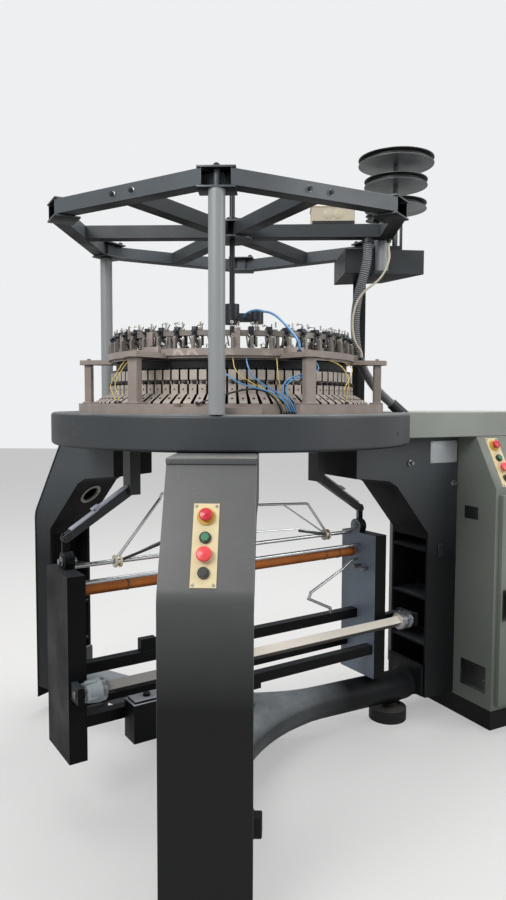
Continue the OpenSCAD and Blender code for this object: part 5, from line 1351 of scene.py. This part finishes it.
# %% [markdown]
# ### Cable box
# The cream box on the spoke has two round embossings, where a cable could be led in, and a dark foot strip
# below. An embossing is a flat cone that stands out two millimetres; a bump map would vanish when seen from
# the side.

# %% Embossings and feet of the cable box
EMBOSSING = [(0, 0.0020), (0.016, 0.0020), (0.0185, 0.0008), (0.0185, -0.0005)]
embossed, box_feet = bmesh.new(), bmesh.new()
for x in (0.350, 0.386):
    turned(embossed, EMBOSSING, facing((x, -0.0240, HEX_TOP + 0.036), (0, -1, 0)), 28)
block(box_feet, (0.292, -0.0255, HEX_TOP + 0.0005), (0.443, -0.0238, HEX_TOP + 0.011))
small_piece("box_embossings", embossed, "frame", cream_moulding)
small_piece("box_feet", box_feet, "frame", black_moulding)

# %% [markdown]
# ## Floor and backdrop
# A pale floor and backdrop keep the outline easy to read. Stronger lamps would whiten them too, but they
# would also wash out the machine. So the floor glows a little by itself, and the backdrop is brighter where
# the camera sees it than where it lights the machine. A light path node tells the two apart.

# %% Stage
FLOOR_HALF, FLOOR_BACK, FLOOR_GLOW = 14.0, 4.0, 0.34
HALL_COLOUR = (0.93, 0.94, 0.95, 1)
HALL_LIGHT, SEEN_EXTRA = 0.6, 0.32


def seen_by(tree, *rays):
    """One when either of two kinds of ray looks, and otherwise nought."""
    path = tree.nodes.new("ShaderNodeLightPath").outputs
    return math_node(tree, "ADD", path[rays[0]], path[rays[1]], True)


def stage_material(name, shade, glow):
    material = bpy.data.materials.new(name)
    material.use_nodes = True
    tree = material.node_tree
    seen = seen_by(tree, "Is Camera Ray", "Is Glossy Ray")
    for label, value in (("Base Color", (*shade, 1)), ("Roughness", 0.9), ("Emission Color", (1, 1, 1, 1)),
                         ("Emission Strength", math_node(tree, "MULTIPLY", seen, glow))):
        feed(tree, value, tree.nodes["Principled BSDF"].inputs[label])
    return material


floor_mesh = bmesh.new()
bmesh.ops.create_grid(floor_mesh, x_segments=4, y_segments=4, size=FLOOR_HALF)
bmesh.ops.translate(floor_mesh, verts=floor_mesh.verts, vec=(0, FLOOR_BACK, 0))
mesh = bpy.data.meshes.new("studio_floor")
floor_mesh.to_mesh(mesh)
floor_mesh.free()
studio_floor = bpy.data.objects.new("studio_floor", mesh)
bpy.context.scene.collection.objects.link(studio_floor)
mesh.materials.append(stage_material("pale_floor", (0.34, 0.335, 0.33), FLOOR_GLOW))

world = bpy.data.worlds.new("studio_world")
bpy.context.scene.world = world
world.use_nodes = True
tree = world.node_tree
extra = math_node(tree, "MULTIPLY", seen_by(tree, "Is Camera Ray", "Is Transmission Ray"), SEEN_EXTRA)
feed(tree, HALL_COLOUR, tree.nodes["Background"].inputs["Color"])
feed(tree, math_node(tree, "ADD", extra, HALL_LIGHT), tree.nodes["Background"].inputs["Strength"])
print("floor", studio_floor.name, "world", world.name)

# %% [markdown]
# ## Light
# The photograph's shadows are soft, as under a high roof with many lights. Three large area lamps, at the
# front, above and at the side, give such a light. Small lamps would draw hard shadows.

# %% Lamps
def soft_lamp(name, place, target, size, power):
    data = bpy.data.lights.new(name, "AREA")
    data.shape = "RECTANGLE"
    data.size, data.size_y = size
    data.energy = power
    lamp = bpy.data.objects.new(name, data)
    bpy.context.scene.collection.objects.link(lamp)
    aim = (Vector(target) - Vector(place)).to_track_quat("-Z", "Y")
    lamp.matrix_world = Matrix.Translation(place) @ aim.to_matrix().to_4x4()
    print(name, power, "W")


soft_lamp("front_lamp", (-2.6, -4.2, 4.2), (0.2, 0, 1.2), (3.0, 2.0), 190)
soft_lamp("top_lamp", (0.5, 1.0, 5.2), (0.3, 0.2, 1.4), (4.0, 4.0), 260)
soft_lamp("side_lamp", (4.6, -1.6, 3.0), (0.6, 0.2, 1.3), (2.5, 2.5), 70)

# %% [markdown]
# ## Finish
# The Standard view shows the colours as they were set.

# %% Finish
bpy.context.scene.view_settings.view_transform = "Standard"
